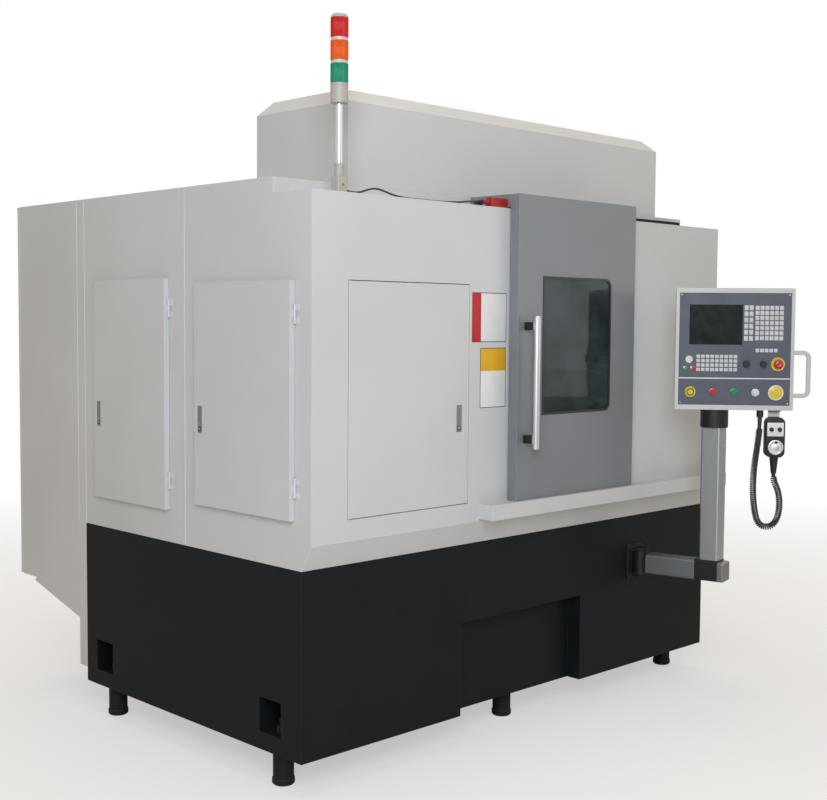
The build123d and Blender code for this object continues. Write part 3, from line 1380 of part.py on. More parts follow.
# Push buttons: a cap that fits its bezel, held by a flange behind the face
for name in ("red_button", "green_button", "white_button"):
    with BuildPart() as button:
        with BuildSketch(face_front.offset(BUTTON_PROUD)):
            with Locations(buttons[name]):
                Circle(BUTTON_RADIUS)
        extrude(amount=-(BUTTON_PROUD + FACE_THICK + BUTTON_FLANGE_GAP + BUTTON_FLANGE))
        cap = button.faces().sort_by(Axis(tuple(panel_middle), tuple(facing)))[-1]
        fillet(cap.edges(), BUTTON_EDGE)
        with BuildSketch(face_back.offset(-BUTTON_FLANGE_GAP)):
            with Locations(buttons[name]):
                Circle(BEZEL_RADIUS)
        extrude(amount=-BUTTON_FLANGE)
    save(button, name)

with BuildPart() as key_switch:
    with BuildSketch(face_front.offset(BUTTON_PROUD)):
        with Locations(buttons["key_switch"]):
            Circle(BUTTON_RADIUS)
    extrude(amount=-(BUTTON_PROUD + FACE_THICK + BUTTON_FLANGE_GAP + BUTTON_FLANGE))
    with BuildSketch(face_front.offset(BUTTON_PROUD)):
        with Locations(buttons["key_switch"]):
            SlotOverall(2 * BUTTON_RADIUS - 2 * KEY_HEIGHT, BEZEL_PROUD, rotation=90)
    extrude(amount=KEY_PROUD)
    with BuildSketch(face_back.offset(-BUTTON_FLANGE_GAP)):
        with Locations(buttons["key_switch"]):
            Circle(BEZEL_RADIUS)
    extrude(amount=-BUTTON_FLANGE)
save(key_switch, "key_switch")

for name, place in knobs.items():
    with BuildPart() as knob:
        with BuildSketch(face_front.offset(KNOB_GAP)):
            with Locations(place):
                Circle(KNOB_RADIUS)
        extrude(amount=KNOB_HEIGHT, taper=KNOB_TAPER)
        with BuildSketch(face_front.offset(KNOB_GAP + KNOB_HEIGHT)):
            with Locations(place):
                SlotOverall(2 * KNOB_RADIUS - BEZEL_PROUD, BEZEL_PROUD, rotation=90)
        extrude(amount=KEY_HEIGHT)
        with BuildSketch(face_front.offset(KNOB_GAP)):
            with Locations(place):
                Circle(KNOB_SHAFT_RADIUS)
        extrude(amount=-(KNOB_GAP + FACE_THICK + BUTTON_FLANGE_GAP + BUTTON_FLANGE))
        with BuildSketch(face_back.offset(-BUTTON_FLANGE_GAP)):
            with Locations(place):
                Circle(BUTTON_RADIUS)
        extrude(amount=-BUTTON_FLANGE)
    save(knob, name)

# Emergency stop: a mushroom head on a stem, held by a flange behind the face
with BuildPart() as emergency_stop:
    drum(face_front.offset(STOP_NECK), *stop_place, STOP_RADIUS, STOP_HEIGHT - STOP_NECK)
    head_end = emergency_stop.faces().sort_by(Axis(tuple(panel_middle), tuple(facing)))[-1]
    fillet(head_end.edges(), STOP_CROWN)
    stop_depth = FACE_THICK + BUTTON_FLANGE_GAP + STOP_NECK
    drum(face_back.offset(-BUTTON_FLANGE_GAP), *stop_place, STOP_STEM, stop_depth)
    drum(face_back.offset(-BUTTON_FLANGE_GAP - BUTTON_FLANGE), *stop_place, BEZEL_RADIUS, BUTTON_FLANGE)
save(emergency_stop, "emergency_stop")

# C-shaped handle on the side of the panel
handle_plane = rim_front.offset(-PANEL_RIM_DEPTH / 2)
handle_ends = [
    handle_plane.from_local_coords((x, y, 0))
    for x, y in (
        (PANEL_WIDTH / 2, HANDLE_TOP),
        (PANEL_WIDTH / 2 + HANDLE_OUT, HANDLE_TOP),
        (PANEL_WIDTH / 2 + HANDLE_OUT, HANDLE_TOP - HANDLE_DROP),
        (PANEL_WIDTH / 2, HANDLE_TOP - HANDLE_DROP),
    )
]

with BuildPart() as panel_handle:
    with BuildLine() as handle_route:
        FilletPolyline(*handle_ends, radius=HANDLE_CORNER)
    with BuildSketch(Plane(origin=handle_ends[0], z_dir=sideways)):
        Circle(HANDLE_BAR / 2)
    sweep(path=handle_route.wire())
save(panel_handle, "panel_handle")

# Handwheel unit under the panel, on its hanger, with the two fittings of its cord
unit_front = rim_front.offset(UNIT_FORWARD)
unit_bottom = UNIT_TOP - UNIT_HEIGHT
wheel_place = (UNIT_X, UNIT_TOP - WHEEL_DROP)
cord_depth = UNIT_FORWARD - UNIT_THICK / 2


def under_panel(x, y, forward):
    """A plane that looks down from a place given on the panel's face; its y points to the operator."""
    return Plane(origin=rim_front.from_local_coords((x, y, forward)), x_dir=sideways, z_dir=(0, 0, -1))


with BuildPart() as handwheel_unit:
    with BuildSketch(unit_front):
        with Locations((UNIT_X, UNIT_TOP - UNIT_HEIGHT / 2)):
            RectangleRounded(UNIT_WIDTH, UNIT_HEIGHT, UNIT_CORNER)
    extrude(amount=-UNIT_THICK)
    front_face = handwheel_unit.faces().sort_by(Axis(tuple(panel_middle), tuple(facing)))[-1]
    fillet(front_face.edges(), UNIT_EDGE)
    strap_top = -PANEL_HEIGHT / 2
    strap_bottom = UNIT_TOP - HANGER_OVERLAP
    with BuildSketch(unit_front.offset(-UNIT_THICK)):
        with Locations((UNIT_X, (strap_top + strap_bottom) / 2)):
            Rectangle(HANGER_WIDTH, strap_top - strap_bottom)
    extrude(amount=-HANGER_THICK)
    strap_back = UNIT_FORWARD - UNIT_THICK - HANGER_THICK
    with BuildSketch(under_panel(UNIT_X, strap_top, (strap_back - HANGER_THICK) / 2)):
        Rectangle(HANGER_WIDTH, -HANGER_THICK - strap_back)
    extrude(amount=HANGER_THICK)
    with BuildSketch(unit_front):
        with Locations((UNIT_X, UNIT_TOP - PLATE_DROP)):
            Rectangle(SELECTOR_PLATE_WIDTH, SELECTOR_PLATE_HEIGHT)
    extrude(amount=KEY_HEIGHT)
    with BuildSketch(unit_front):
        with Locations((UNIT_X, UNIT_TOP - PLATE_DROP)):
            with GridLocations(SELECTOR_PLATE_WIDTH / 2, 0, 2, 1):
                Circle(SELECTOR_RADIUS)
    extrude(amount=SELECTOR_HEIGHT, taper=KNOB_TAPER)
    with BuildSketch(unit_front):
        with Locations(wheel_place):
            Circle(WHEEL_PIN_RADIUS + PIN_CLEARANCE)
    extrude(amount=-WHEEL_PIN_LENGTH, mode=Mode.SUBTRACT)
    with BuildSketch(under_panel(UNIT_X, unit_bottom, cord_depth)):
        Circle(RELIEF_TOP_RADIUS)
    extrude(
        amount=RELIEF_LENGTH,
        taper=degrees(atan((RELIEF_TOP_RADIUS - RELIEF_TIP_RADIUS) / RELIEF_LENGTH)),
    )
    with BuildSketch(under_panel(CORD_EXIT_X, strap_top, cord_depth)):
        Circle(CORD_RADIUS)
    extrude(amount=CORD_SOCKET)
save(handwheel_unit, "handwheel_unit")

with BuildPart() as handwheel:
    with BuildSketch(unit_front.offset(WHEEL_GAP)):
        with Locations(wheel_place):
            Circle(WHEEL_RADIUS)
    extrude(amount=WHEEL_THICK)
    rim_edges = handwheel.edges().filter_by(GeomType.CIRCLE)
    fillet(rim_edges, WHEEL_EDGE)
    with BuildSketch(unit_front.offset(WHEEL_GAP)):
        with Locations(wheel_place):
            Circle(WHEEL_PIN_RADIUS)
    extrude(amount=-(WHEEL_PIN_LENGTH + WHEEL_GAP - PIN_CLEARANCE))
    with BuildSketch(unit_front.offset(WHEEL_GAP + WHEEL_THICK)):
        with Locations((wheel_place[0], wheel_place[1] + WHEEL_RADIUS - CRANK_INSET)):
            Circle(CRANK_RADIUS)
    extrude(amount=CRANK_HEIGHT)
save(handwheel, "handwheel")

cord_start = (CORD_EXIT_X, strap_top - CORD_SOCKET, cord_depth)
cord_end = (UNIT_X, unit_bottom - RELIEF_LENGTH, cord_depth)
cord_places = [tuple(start + step for start, step in zip(cord_start, point)) for point in CORD_ROUTE]
save_cord(
    [tuple(rim_front.from_local_coords(place)) for place in cord_places + [cord_end]],
    CORD_RADIUS,
    "handwheel_cord",
)

# Machine bed: one casting with the column's ways, the table pedestal and the tailstock's foot
way_top = BED_TOP + WAY_HEIGHT

with BuildPart() as machine_bed:
    block((BED_LEFT, BED_RIGHT), (BED_FRONT, BED_BACK), (POCKET_BOTTOM, BED_TOP))
    block(
        (foot_columns[1] - POCKET_WIDTH / 2, foot_columns[1] + POCKET_WIDTH / 2),
        (BED_FRONT, FOOT_ROWS[0] + POCKET_WIDTH / 2),
        (POCKET_BOTTOM, POCKET_BOTTOM + POCKET_HEIGHT),
        Mode.SUBTRACT,
    )
    for side in (-1, 1):
        middle = AXIS_Y + side * WAY_SPREAD / 2
        block((WAY_LEFT, WAY_RIGHT), (middle - WAY_WIDTH / 2, middle + WAY_WIDTH / 2), (BED_TOP, way_top))
    with BuildSketch(Plane.XY.offset(BED_TOP)):
        with Locations((TABLE_X, AXIS_Y)):
            Circle(PEDESTAL_RADIUS)
    extrude(amount=PEDESTAL_TOP - BED_TOP)
    with BuildSketch(Plane.XY.offset(PEDESTAL_TOP)):
        with Locations((TABLE_X, AXIS_Y)):
            Circle(TABLE_SPIGOT + TABLE_GAP)
    extrude(amount=-(SPIGOT_DEPTH + TABLE_GAP), mode=Mode.SUBTRACT)
save(machine_bed, "machine_bed")

# Work table with radial slots, and the work arbor bolted on it
table_bottom = PEDESTAL_TOP + TABLE_GAP
table_top = table_bottom + TABLE_THICK

with BuildPart() as work_table:
    with BuildSketch(Plane.XY.offset(table_bottom)):
        with Locations((TABLE_X, AXIS_Y)):
            Circle(TABLE_RADIUS)
    extrude(amount=TABLE_THICK)
    with BuildSketch(Plane.XY.offset(table_bottom)):
        with Locations((TABLE_X, AXIS_Y)):
            Circle(TABLE_SPIGOT)
    extrude(amount=-SPIGOT_DEPTH)
    slot_middle = (TABLE_RADIUS + ARBOR_FLANGE_RADIUS) / 2
    with BuildSketch(Plane.XY.offset(table_top)):
        with Locations((TABLE_X, AXIS_Y)):
            with PolarLocations(slot_middle, SLOT_COUNT):
                Rectangle(TABLE_RADIUS, SLOT_WIDTH)
    extrude(amount=-SLOT_DEPTH, mode=Mode.SUBTRACT)
    with BuildSketch(Plane.XY.offset(table_top - SLOT_DEPTH)):
        with Locations((TABLE_X, AXIS_Y)):
            Circle(ARBOR_FLANGE_RADIUS)
    extrude(amount=2 * SLOT_DEPTH)
    with BuildSketch(Plane.XY.offset(table_top)):
        with Locations((TABLE_X, AXIS_Y)):
            Circle(ARBOR_RADIUS)
    extrude(amount=ARBOR_TOP - table_top)
    with BuildSketch(Plane.XY.offset(ARBOR_TOP)):
        with Locations((TABLE_X, AXIS_Y)):
            Circle(CENTRE_HOLE_RADIUS)
    extrude(amount=-CENTRE_HOLE_RADIUS, taper=CENTRE_HOLE_TAPER, mode=Mode.SUBTRACT)
save(work_table, "work_table")

# Hob column: it slides on the bed's ways, and its face carries two dovetail guides
saddle_bottom = way_top + SLIDING_GAP
guide_bottom = saddle_bottom + SADDLE_HEIGHT


def dovetails(face_x, toward, spread, width, grow):
    """Two upright guides in a level sketch, wider at their front, grown all round by a clearance."""
    for side in (-1, 1):
        middle = AXIS_Y + side * spread / 2
        root = width / 2 - GUIDE_UNDERCUT + grow
        tip = width / 2 + grow
        front = face_x + toward * (GUIDE_THICK + grow)
        Polygon(
            (face_x - toward, middle - root),
            (front, middle - tip),
            (front, middle + tip),
            (face_x - toward, middle + root),
            align=None,
        )


with BuildPart() as hob_column:
    with BuildSketch(Plane.XZ.offset(-(AXIS_Y - COLUMN_WIDTH / 2))):
        with BuildLine():
            Polyline(
                (COLUMN_BACK, saddle_bottom),
                (COLUMN_FACE, saddle_bottom),
                (COLUMN_FACE, COLUMN_TOP),
                (COLUMN_BACK + COLUMN_TAPER, COLUMN_TOP),
                (COLUMN_BACK, guide_bottom),
                close=True,
            )
        make_face()
    extrude(amount=-COLUMN_WIDTH)
    block(
        (COLUMN_BACK, COLUMN_FACE),
        (AXIS_Y - COLUMN_WIDTH / 2 - SADDLE_OVERHANG, AXIS_Y + COLUMN_WIDTH / 2 + SADDLE_OVERHANG),
        (saddle_bottom, guide_bottom),
    )
    with BuildSketch(Plane.XY.offset(guide_bottom)):
        dovetails(COLUMN_FACE, 1, GUIDE_SPREAD, GUIDE_WIDTH, 0)
    extrude(amount=COLUMN_TOP - guide_bottom)
save(hob_column, "hob_column")

# Axial slide on the column, with the bore for the head's swivel
slide_back = COLUMN_FACE + 2 * SLIDING_GAP
slide_front = COLUMN_FACE + SLIDE_THICK
head_plane = Plane(origin=(slide_front, AXIS_Y, HOB_HEIGHT), x_dir=(0, 1, 0), z_dir=(1, 0, 0))

with BuildPart() as hob_slide:
    block(
        (slide_back, slide_front),
        (AXIS_Y - SLIDE_WIDTH / 2, AXIS_Y + SLIDE_WIDTH / 2),
        (HOB_HEIGHT - SLIDE_HEIGHT / 2, HOB_HEIGHT + SLIDE_HEIGHT / 2),
    )
    with BuildSketch(Plane.XY.offset(HOB_HEIGHT - SLIDE_HEIGHT / 2)):
        dovetails(COLUMN_FACE, 1, GUIDE_SPREAD, GUIDE_WIDTH, SLIDING_GAP)
    extrude(amount=SLIDE_HEIGHT, mode=Mode.SUBTRACT)
    with BuildSketch(head_plane):
        Circle(SWIVEL_PIN + SLIDING_GAP)
    extrude(amount=-(SWIVEL_DEPTH + SLIDING_GAP), mode=Mode.SUBTRACT)
save(hob_slide, "hob_slide")

# Hob head: swivel disc, gear housing, two arbor brackets and the drive motor
disc_plane = head_plane.offset(TABLE_GAP)
body_plane = disc_plane.offset(SWIVEL_THICK)
arbor_forward = COLUMN_FACE + HOB_OUT - slide_front
bracket_start = arbor_forward - TABLE_GAP - SWIVEL_THICK - HEAD_THICK
arbor_plane = Plane(
    origin=(COLUMN_FACE + HOB_OUT, AXIS_Y, HOB_HEIGHT), x_dir=(1, 0, 0), z_dir=(0, 1, 0)
)

with BuildPart() as hob_head:
    with BuildSketch(disc_plane):
        Circle(SWIVEL_PIN)
    extrude(amount=-(SWIVEL_DEPTH + TABLE_GAP))
    with BuildSketch(disc_plane):
        Circle(SWIVEL_RADIUS)
    extrude(amount=SWIVEL_THICK)
    with BuildSketch(body_plane):
        RectangleRounded(2 * HEAD_HALF_LENGTH, 2 * HEAD_HALF_HEIGHT, HEAD_CORNER)
    extrude(amount=HEAD_THICK)
    for side in (-1, 1):
        with BuildSketch(arbor_plane.offset(side * (BRACKET_INSIDE + BRACKET_THICK / 2))):
            Circle(BRACKET_RADIUS)
            with Locations((-bracket_start / 2, 0)):
                Rectangle(bracket_start, 2 * BRACKET_RADIUS)
        extrude(amount=BRACKET_THICK / 2, both=True)
    with BuildSketch(arbor_plane.offset(BRACKET_INSIDE + BRACKET_THICK)):
        Circle(MOTOR_RADIUS)
    extrude(amount=MOTOR_LENGTH)
    with BuildSketch(arbor_plane.offset(-BRACKET_INSIDE - BRACKET_THICK)):
        Circle(JOURNAL_RADIUS + JOURNAL_CLEARANCE)
    extrude(amount=2 * (BRACKET_INSIDE + BRACKET_THICK) + MOTOR_LENGTH / 2, mode=Mode.SUBTRACT)
save(hob_head, "hob_head")

# Hob on its arbor: the gashed teeth follow the thread, so each row of teeth is set along by its
# share of the pitch
tooth_rows = int(HOB_LENGTH / HOB_PITCH) - 1
tooth_root = HOB_PITCH * HOB_ROOT_SHARE
tooth_tip = HOB_PITCH * HOB_TIP_SHARE

with BuildPart() as hob_arbor:
    with BuildSketch(arbor_plane.offset(-HOB_LENGTH / 2)):
        Circle(HOB_ROOT_RADIUS)
    extrude(amount=HOB_LENGTH)
    for gash in range(HOB_GASHES):
        turned = arbor_plane.rotated((0, 0, 360 * gash / HOB_GASHES))
        tooth_plane = Plane(origin=turned.origin, x_dir=turned.z_dir, z_dir=turned.y_dir)
        with BuildSketch(tooth_plane):
            for row in range(tooth_rows):
                along_axis = HOB_PITCH * (row + gash / HOB_GASHES - tooth_rows / 2)
                Polygon(
                    (along_axis - tooth_root, -HOB_ROOT_RADIUS + TOOTH_SINK),
                    (along_axis - tooth_tip, -HOB_RADIUS),
                    (along_axis + tooth_tip, -HOB_RADIUS),
                    (along_axis + tooth_root, -HOB_ROOT_RADIUS + TOOTH_SINK),
                    align=None,
                )
        extrude(amount=TOOTH_LENGTH / 2, both=True)
    for side in (-1, 1):
        with BuildSketch(arbor_plane.offset(side * HOB_LENGTH / 2)):
            Circle(SPACER_RADIUS)
        extrude(amount=side * (BRACKET_INSIDE - HOB_LENGTH / 2 - SLIDING_GAP))
        with BuildSketch(arbor_plane.offset(side * (BRACKET_INSIDE - SLIDING_GAP))):
            Circle(JOURNAL_RADIUS)
        extrude(amount=side * BRACKET_THICK)
save(hob_arbor, "hob_arbor")

# Tailstock column on the bed, with its guides towards the table
with BuildPart() as tailstock_column:
    block(
        (TAIL_FACE, TAIL_FACE + TAIL_DEPTH),
        (AXIS_Y - TAIL_WIDTH / 2, AXIS_Y + TAIL_WIDTH / 2),
        (BED_TOP, TAIL_TOP),
    )
    with BuildSketch(Plane.XY.offset(BED_TOP)):
        dovetails(TAIL_FACE, -1, TAIL_GUIDE_SPREAD, GUIDE_WIDTH, 0)
    extrude(amount=TAIL_TOP - BED_TOP)
save(tailstock_column, "tailstock_column")

# Tailstock: carriage, arm and quill with its centre over the work arbor
carriage_back = TAIL_FACE - 2 * SLIDING_GAP
carriage_front = TAIL_FACE - TAIL_CARRIAGE_THICK

with BuildPart() as tailstock_arm:
    block(
        (carriage_front, carriage_back),
        (AXIS_Y - TAIL_WIDTH / 2, AXIS_Y + TAIL_WIDTH / 2),
        (TAIL_ARM_HEIGHT - TAIL_CARRIAGE_HEIGHT / 2, TAIL_ARM_HEIGHT + TAIL_CARRIAGE_HEIGHT / 2),
    )
    with BuildSketch(Plane.XY.offset(TAIL_ARM_HEIGHT - TAIL_CARRIAGE_HEIGHT / 2)):
        dovetails(TAIL_FACE, -1, TAIL_GUIDE_SPREAD, GUIDE_WIDTH, SLIDING_GAP)
    extrude(amount=TAIL_CARRIAGE_HEIGHT, mode=Mode.SUBTRACT)
    with BuildSketch(Plane.XY.offset(TAIL_ARM_HEIGHT - TAIL_ARM_DEPTH / 2)):
        with Locations((TABLE_X, AXIS_Y)):
            Circle(TAIL_ARM_WIDTH / 2)
        with Locations(((TABLE_X + carriage_front) / 2, AXIS_Y)):
            Rectangle(carriage_front - TABLE_X, TAIL_ARM_WIDTH)
    extrude(amount=TAIL_ARM_DEPTH)
    with BuildSketch(Plane.XY.offset(TAIL_ARM_HEIGHT - TAIL_ARM_DEPTH / 2)):
        with Locations((TABLE_X, AXIS_Y)):
            Circle(QUILL_RADIUS)
    extrude(amount=-QUILL_DROP)
    with BuildSketch(Plane.XY.offset(TAIL_ARM_HEIGHT - TAIL_ARM_DEPTH / 2 - QUILL_DROP)):
        with Locations((TABLE_X, AXIS_Y)):
            Circle(CENTRE_RADIUS)
    extrude(amount=-CENTRE_DROP, taper=CENTRE_TAPER)
save(tailstock_arm, "tailstock_arm")

# Hydraulic unit on the base deck: tank, pump motor and filter
tank_top = BASE_TOP + TANK_HEIGHT
tank_middle = TANK_LEFT + TANK_WIDTH / 2

with BuildPart() as hydraulic_unit:
    block((TANK_LEFT, TANK_LEFT + TANK_WIDTH), (TANK_FRONT, TANK_FRONT + TANK_LENGTH), (BASE_TOP, tank_top))
    with BuildSketch(Plane.XY.offset(tank_top)):
        with Locations((tank_middle, TANK_FRONT + TANK_LENGTH * PUMP_PLACE)):
            Circle(PUMP_RADIUS)
    extrude(amount=PUMP_LENGTH)
    with BuildSketch(Plane.XY.offset(tank_top)):
        with Locations((tank_middle, TANK_FRONT + TANK_LENGTH * FILTER_PLACE)):
            Circle(FILTER_RADIUS)
    extrude(amount=FILTER_HEIGHT)
    pump_top = hydraulic_unit.faces().sort_by(Axis.Z)[-1]
    fillet(pump_top.edges(), PUMP_ROUND)
save(hydraulic_unit, "hydraulic_unit")
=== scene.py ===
import json
from math import ceil, cos, pi, radians, sin

import bmesh
import bpy
from mathutils import Matrix, Vector


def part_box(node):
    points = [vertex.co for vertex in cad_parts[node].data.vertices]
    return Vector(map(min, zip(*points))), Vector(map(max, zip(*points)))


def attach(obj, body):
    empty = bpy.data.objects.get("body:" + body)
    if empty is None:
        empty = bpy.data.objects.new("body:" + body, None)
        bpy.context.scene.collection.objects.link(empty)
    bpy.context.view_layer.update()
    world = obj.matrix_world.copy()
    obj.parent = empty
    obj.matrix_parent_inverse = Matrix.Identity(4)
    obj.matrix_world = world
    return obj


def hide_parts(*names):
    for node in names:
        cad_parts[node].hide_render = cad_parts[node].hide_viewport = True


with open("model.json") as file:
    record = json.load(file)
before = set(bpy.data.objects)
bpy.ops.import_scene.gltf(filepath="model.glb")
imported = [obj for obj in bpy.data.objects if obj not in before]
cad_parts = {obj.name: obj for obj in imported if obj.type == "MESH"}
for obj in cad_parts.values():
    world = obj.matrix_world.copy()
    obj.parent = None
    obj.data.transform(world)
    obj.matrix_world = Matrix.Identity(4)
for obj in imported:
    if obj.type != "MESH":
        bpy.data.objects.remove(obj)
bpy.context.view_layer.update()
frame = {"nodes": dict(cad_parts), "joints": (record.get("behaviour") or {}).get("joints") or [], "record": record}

# Gear hobbing machine. Places come from the frame in metres; sizes of pieces are in millimetres.
MM = 0.001
JOINTS = {joint["name"]: joint for joint in frame["joints"]}

# The enclosure's left and front walls
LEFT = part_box("front_panel")[0].x
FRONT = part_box("front_access_door")[0].y

# The panel's own frame: x to the operator's right, y up, z out of its face, from the middle of its rim
BUTTON_ROW = -177
KEY_SWITCH_X = -176
facing = -Vector(JOINTS["key_turn"]["axis"])
sideways = Vector((-facing.y, facing.x, 0))
upright = Vector((0, 0, 1))
switch_place = Vector(JOINTS["key_turn"]["pos_m"])
panel_middle = switch_place - (sideways * KEY_SWITCH_X + upright * BUTTON_ROW) * MM
PANEL = Matrix.Translation(panel_middle) @ Matrix((sideways, upright, facing)).transposed().to_4x4()

# The front wall's frame: x to the right from the left wall, y up from the floor, z out of the wall
FRONT_WALL = Matrix(((1, 0, 0, LEFT), (0, 0, -1, FRONT), (0, 1, 0, 0), (0, 0, 0, 1)))

# Camera: the place measured from the enclosure's front left corner on the floor, then its turn
SENSOR = 36
FOCAL_LENGTH = 55.14
CAMERA_FROM_CORNER = Vector((-2.6511, -3.181, 1.6127))
CAMERA_YAW = radians(44.416)
CAMERA_PITCH = radians(3.579)
CAMERA_ROLL = radians(0.415)


def make_camera():
    """The camera at the photograph's place and angle."""
    data = bpy.data.cameras.new("photo_camera")
    data.sensor_width = SENSOR
    data.lens = FOCAL_LENGTH
    camera = bpy.data.objects.new("photo_camera", data)
    bpy.context.collection.objects.link(camera)
    ahead = Vector((
        sin(CAMERA_YAW) * cos(CAMERA_PITCH),
        cos(CAMERA_YAW) * cos(CAMERA_PITCH),
        -sin(CAMERA_PITCH),
    ))
    level_right = Vector((cos(CAMERA_YAW), -sin(CAMERA_YAW), 0))
    level_up = level_right.cross(ahead)
    right = level_right * cos(CAMERA_ROLL) + level_up * sin(CAMERA_ROLL)
    up = level_up * cos(CAMERA_ROLL) - level_right * sin(CAMERA_ROLL)
    turn = Matrix((right, up, -ahead)).transposed().to_4x4()
    camera.matrix_world = Matrix.Translation(Vector((LEFT, FRONT, 0)) + CAMERA_FROM_CORNER) @ turn
    bpy.context.scene.camera = camera


# Colours and shader nodes

def linear(code):
    """An sRGB hex colour as the linear RGBA that shaders take."""
    parts = [int(code[i:i + 2], 16) / 255 for i in (1, 3, 5)]
    return (*[c / 12.92 if c <= 0.04045 else ((c + 0.055) / 1.055) ** 2.4 for c in parts], 1)


def add_node(tree, kind, settings=None, links=None):
    """Add a shader node: settings go to its properties or inputs, links join its inputs to outputs."""
    node = tree.nodes.new("ShaderNode" + kind)
    for key, value in (settings or {}).items():
        if isinstance(key, str) and hasattr(node, key):
            setattr(node, key, value)
        else:
            node.inputs[key].default_value = value
    for key, source in (links or {}).items():
        tree.links.new(source, node.inputs[key])
    return node


def start_material(name, colour, roughness, metallic=0.0, settings=None):
    """A material with one Principled shader; returns it with its tree and shader."""
    material = bpy.data.materials.new(name)
    material.use_nodes = True
    tree = material.node_tree
    shader = tree.nodes["Principled BSDF"]
    shader.inputs["Base Color"].default_value = linear(colour)
    shader.inputs["Roughness"].default_value = roughness
    shader.inputs["Metallic"].default_value = metallic
    for key, value in (settings or {}).items():
        shader.inputs[key].default_value = value
    return material, tree, shader


def body_place(tree, stretch=(1, 1, 1)):
    """Places on the object in metres, squeezed along an axis where a pattern has a direction."""
    place = add_node(tree, "TexCoord")
    mapping = add_node(tree, "Mapping", {"Scale": stretch}, {"Vector": place.outputs["Object"]})
    return mapping.outputs["Vector"]


def two_tones(tree, factor, first, second, low=0.35, high=0.65):
    """A colour that goes from one hex value to another as a factor goes from low to high."""
    ramp = add_node(tree, "ValToRGB", None, {"Fac": factor})
    ramp.color_ramp.elements[0].position = low
    ramp.color_ramp.elements[1].position = high
    ramp.color_ramp.elements[0].color = linear(first)
    ramp.color_ramp.elements[1].color = linear(second)
    return ramp.outputs["Color"]


def spread_roughness(tree, shader, factor, low, high):
    """Roughness that follows a pattern between two values."""
    node = add_node(tree, "MapRange", {"To Min": low, "To Max": high}, {"Value": factor})
    tree.links.new(node.outputs["Result"], shader.inputs["Roughness"])


def raise_surface(tree, shader, height, depth, strength, normal=None):
    """Bump from a height pattern of a depth in millimetres, over an optional rounded normal."""
    links = {"Height": height}
    if normal:
        links["Normal"] = normal
    node = add_node(tree, "Bump", {"Distance": depth * MM, "Strength": strength}, links)
    tree.links.new(node.outputs["Normal"], shader.inputs["Normal"])


# The painted edge highlight begins where the rounded normal leans this far from the flat one, and is full at the
# second
EDGE_HIGHLIGHT_STARTS = 0.99
EDGE_HIGHLIGHT_IS_FULL = 0.86
EDGE_SAMPLES = 6


def edge_highlight_share(tree, radius, reach):
    """How near a surface is to an edge, from 0 to reach, as the share of a paler colour painted on as a highlight,
    and the normal that rounds that edge.
    """
    rounded = add_node(tree, "Bevel", {"samples": EDGE_SAMPLES, "Radius": radius * MM})
    flat = add_node(tree, "NewGeometry")
    lean = add_node(tree, "VectorMath", {"operation": "DOT_PRODUCT"},
                    {0: rounded.outputs["Normal"], 1: flat.outputs["Normal"]})
    share = add_node(tree, "MapRange",
                     {"From Min": EDGE_HIGHLIGHT_STARTS, "From Max": EDGE_HIGHLIGHT_IS_FULL, "To Min": 0.0, "To Max": reach},
                     {"Value": lean.outputs["Value"]})
    return share.outputs["Result"], rounded.outputs["Normal"]


def mix_colours(tree, factor, first, second):
    """One colour laid over another; each is a hex value or an output."""
    mixed = add_node(tree, "MixRGB", None, {"Fac": factor})
    for key, colour in (("Color1", first), ("Color2", second)):
        if isinstance(colour, str):
            mixed.inputs[key].default_value = linear(colour)
        else:
            tree.links.new(colour, mixed.inputs[key])
    return mixed.outputs["Color"]


def powder_coated_steel(name, colour, drift, edge, roughness=0.42):
    """Powder coated sheet: even satin tone that drifts a little over a metre, a fine orange peel, and
    a paler colour painted along folds and edges as a highlight. The peel is 3 mm wide so that it shows; a real one
    is under 1 mm."""
    material, tree, shader = start_material(name, colour, roughness)
    place = body_place(tree)
    cloud = add_node(tree, "TexNoise", {"Scale": 1.6, "Detail": 3.0}, {"Vector": place})
    peel = add_node(tree, "TexNoise", {"Scale": 1 / (3 * MM), "Detail": 2.0}, {"Vector": place})
    painted_edge_highlight, rounded = edge_highlight_share(tree, 1.8, 0.7)
    tone = two_tones(tree, cloud.outputs["Fac"], colour, drift)
    # The edge colour is a highlight painted along folds and edges.
    tree.links.new(mix_colours(tree, painted_edge_highlight, tone, edge), shader.inputs["Base Color"])
    spread_roughness(tree, shader, peel.outputs["Fac"], roughness - 0.07, roughness + 0.07)
    raise_surface(tree, shader, peel.outputs["Fac"], 0.1, 0.25, rounded)
    return material


def textured_cast_paint(name, colour, drift, edge):
    """Structured epoxy over a casting: near black with a coarse pebble that breaks up its gloss, and
    dust in the hollows that greys it a little."""
    material, tree, shader = start_material(name, colour, 0.6, 0.0, {"Specular IOR Level": 0.14})
    place = body_place(tree)
    pebble = add_node(tree, "TexVoronoi", {"Scale": 1 / (5 * MM)}, {"Vector": place})
    cloud = add_node(tree, "TexNoise", {"Scale": 4.0, "Detail": 5.0}, {"Vector": place})
    painted_edge_highlight, rounded = edge_highlight_share(tree, 2.5, 0.6)
    tone = two_tones(tree, cloud.outputs["Fac"], colour, drift)
    # The edge colour is a paler highlight painted along the casting's edges.
    tree.links.new(mix_colours(tree, painted_edge_highlight, tone, edge), shader.inputs["Base Color"])
    spread_roughness(tree, shader, cloud.outputs["Fac"], 0.5, 0.72)
    raise_surface(tree, shader, pebble.outputs["Distance"], 0.6, 0.3, rounded)
    return material


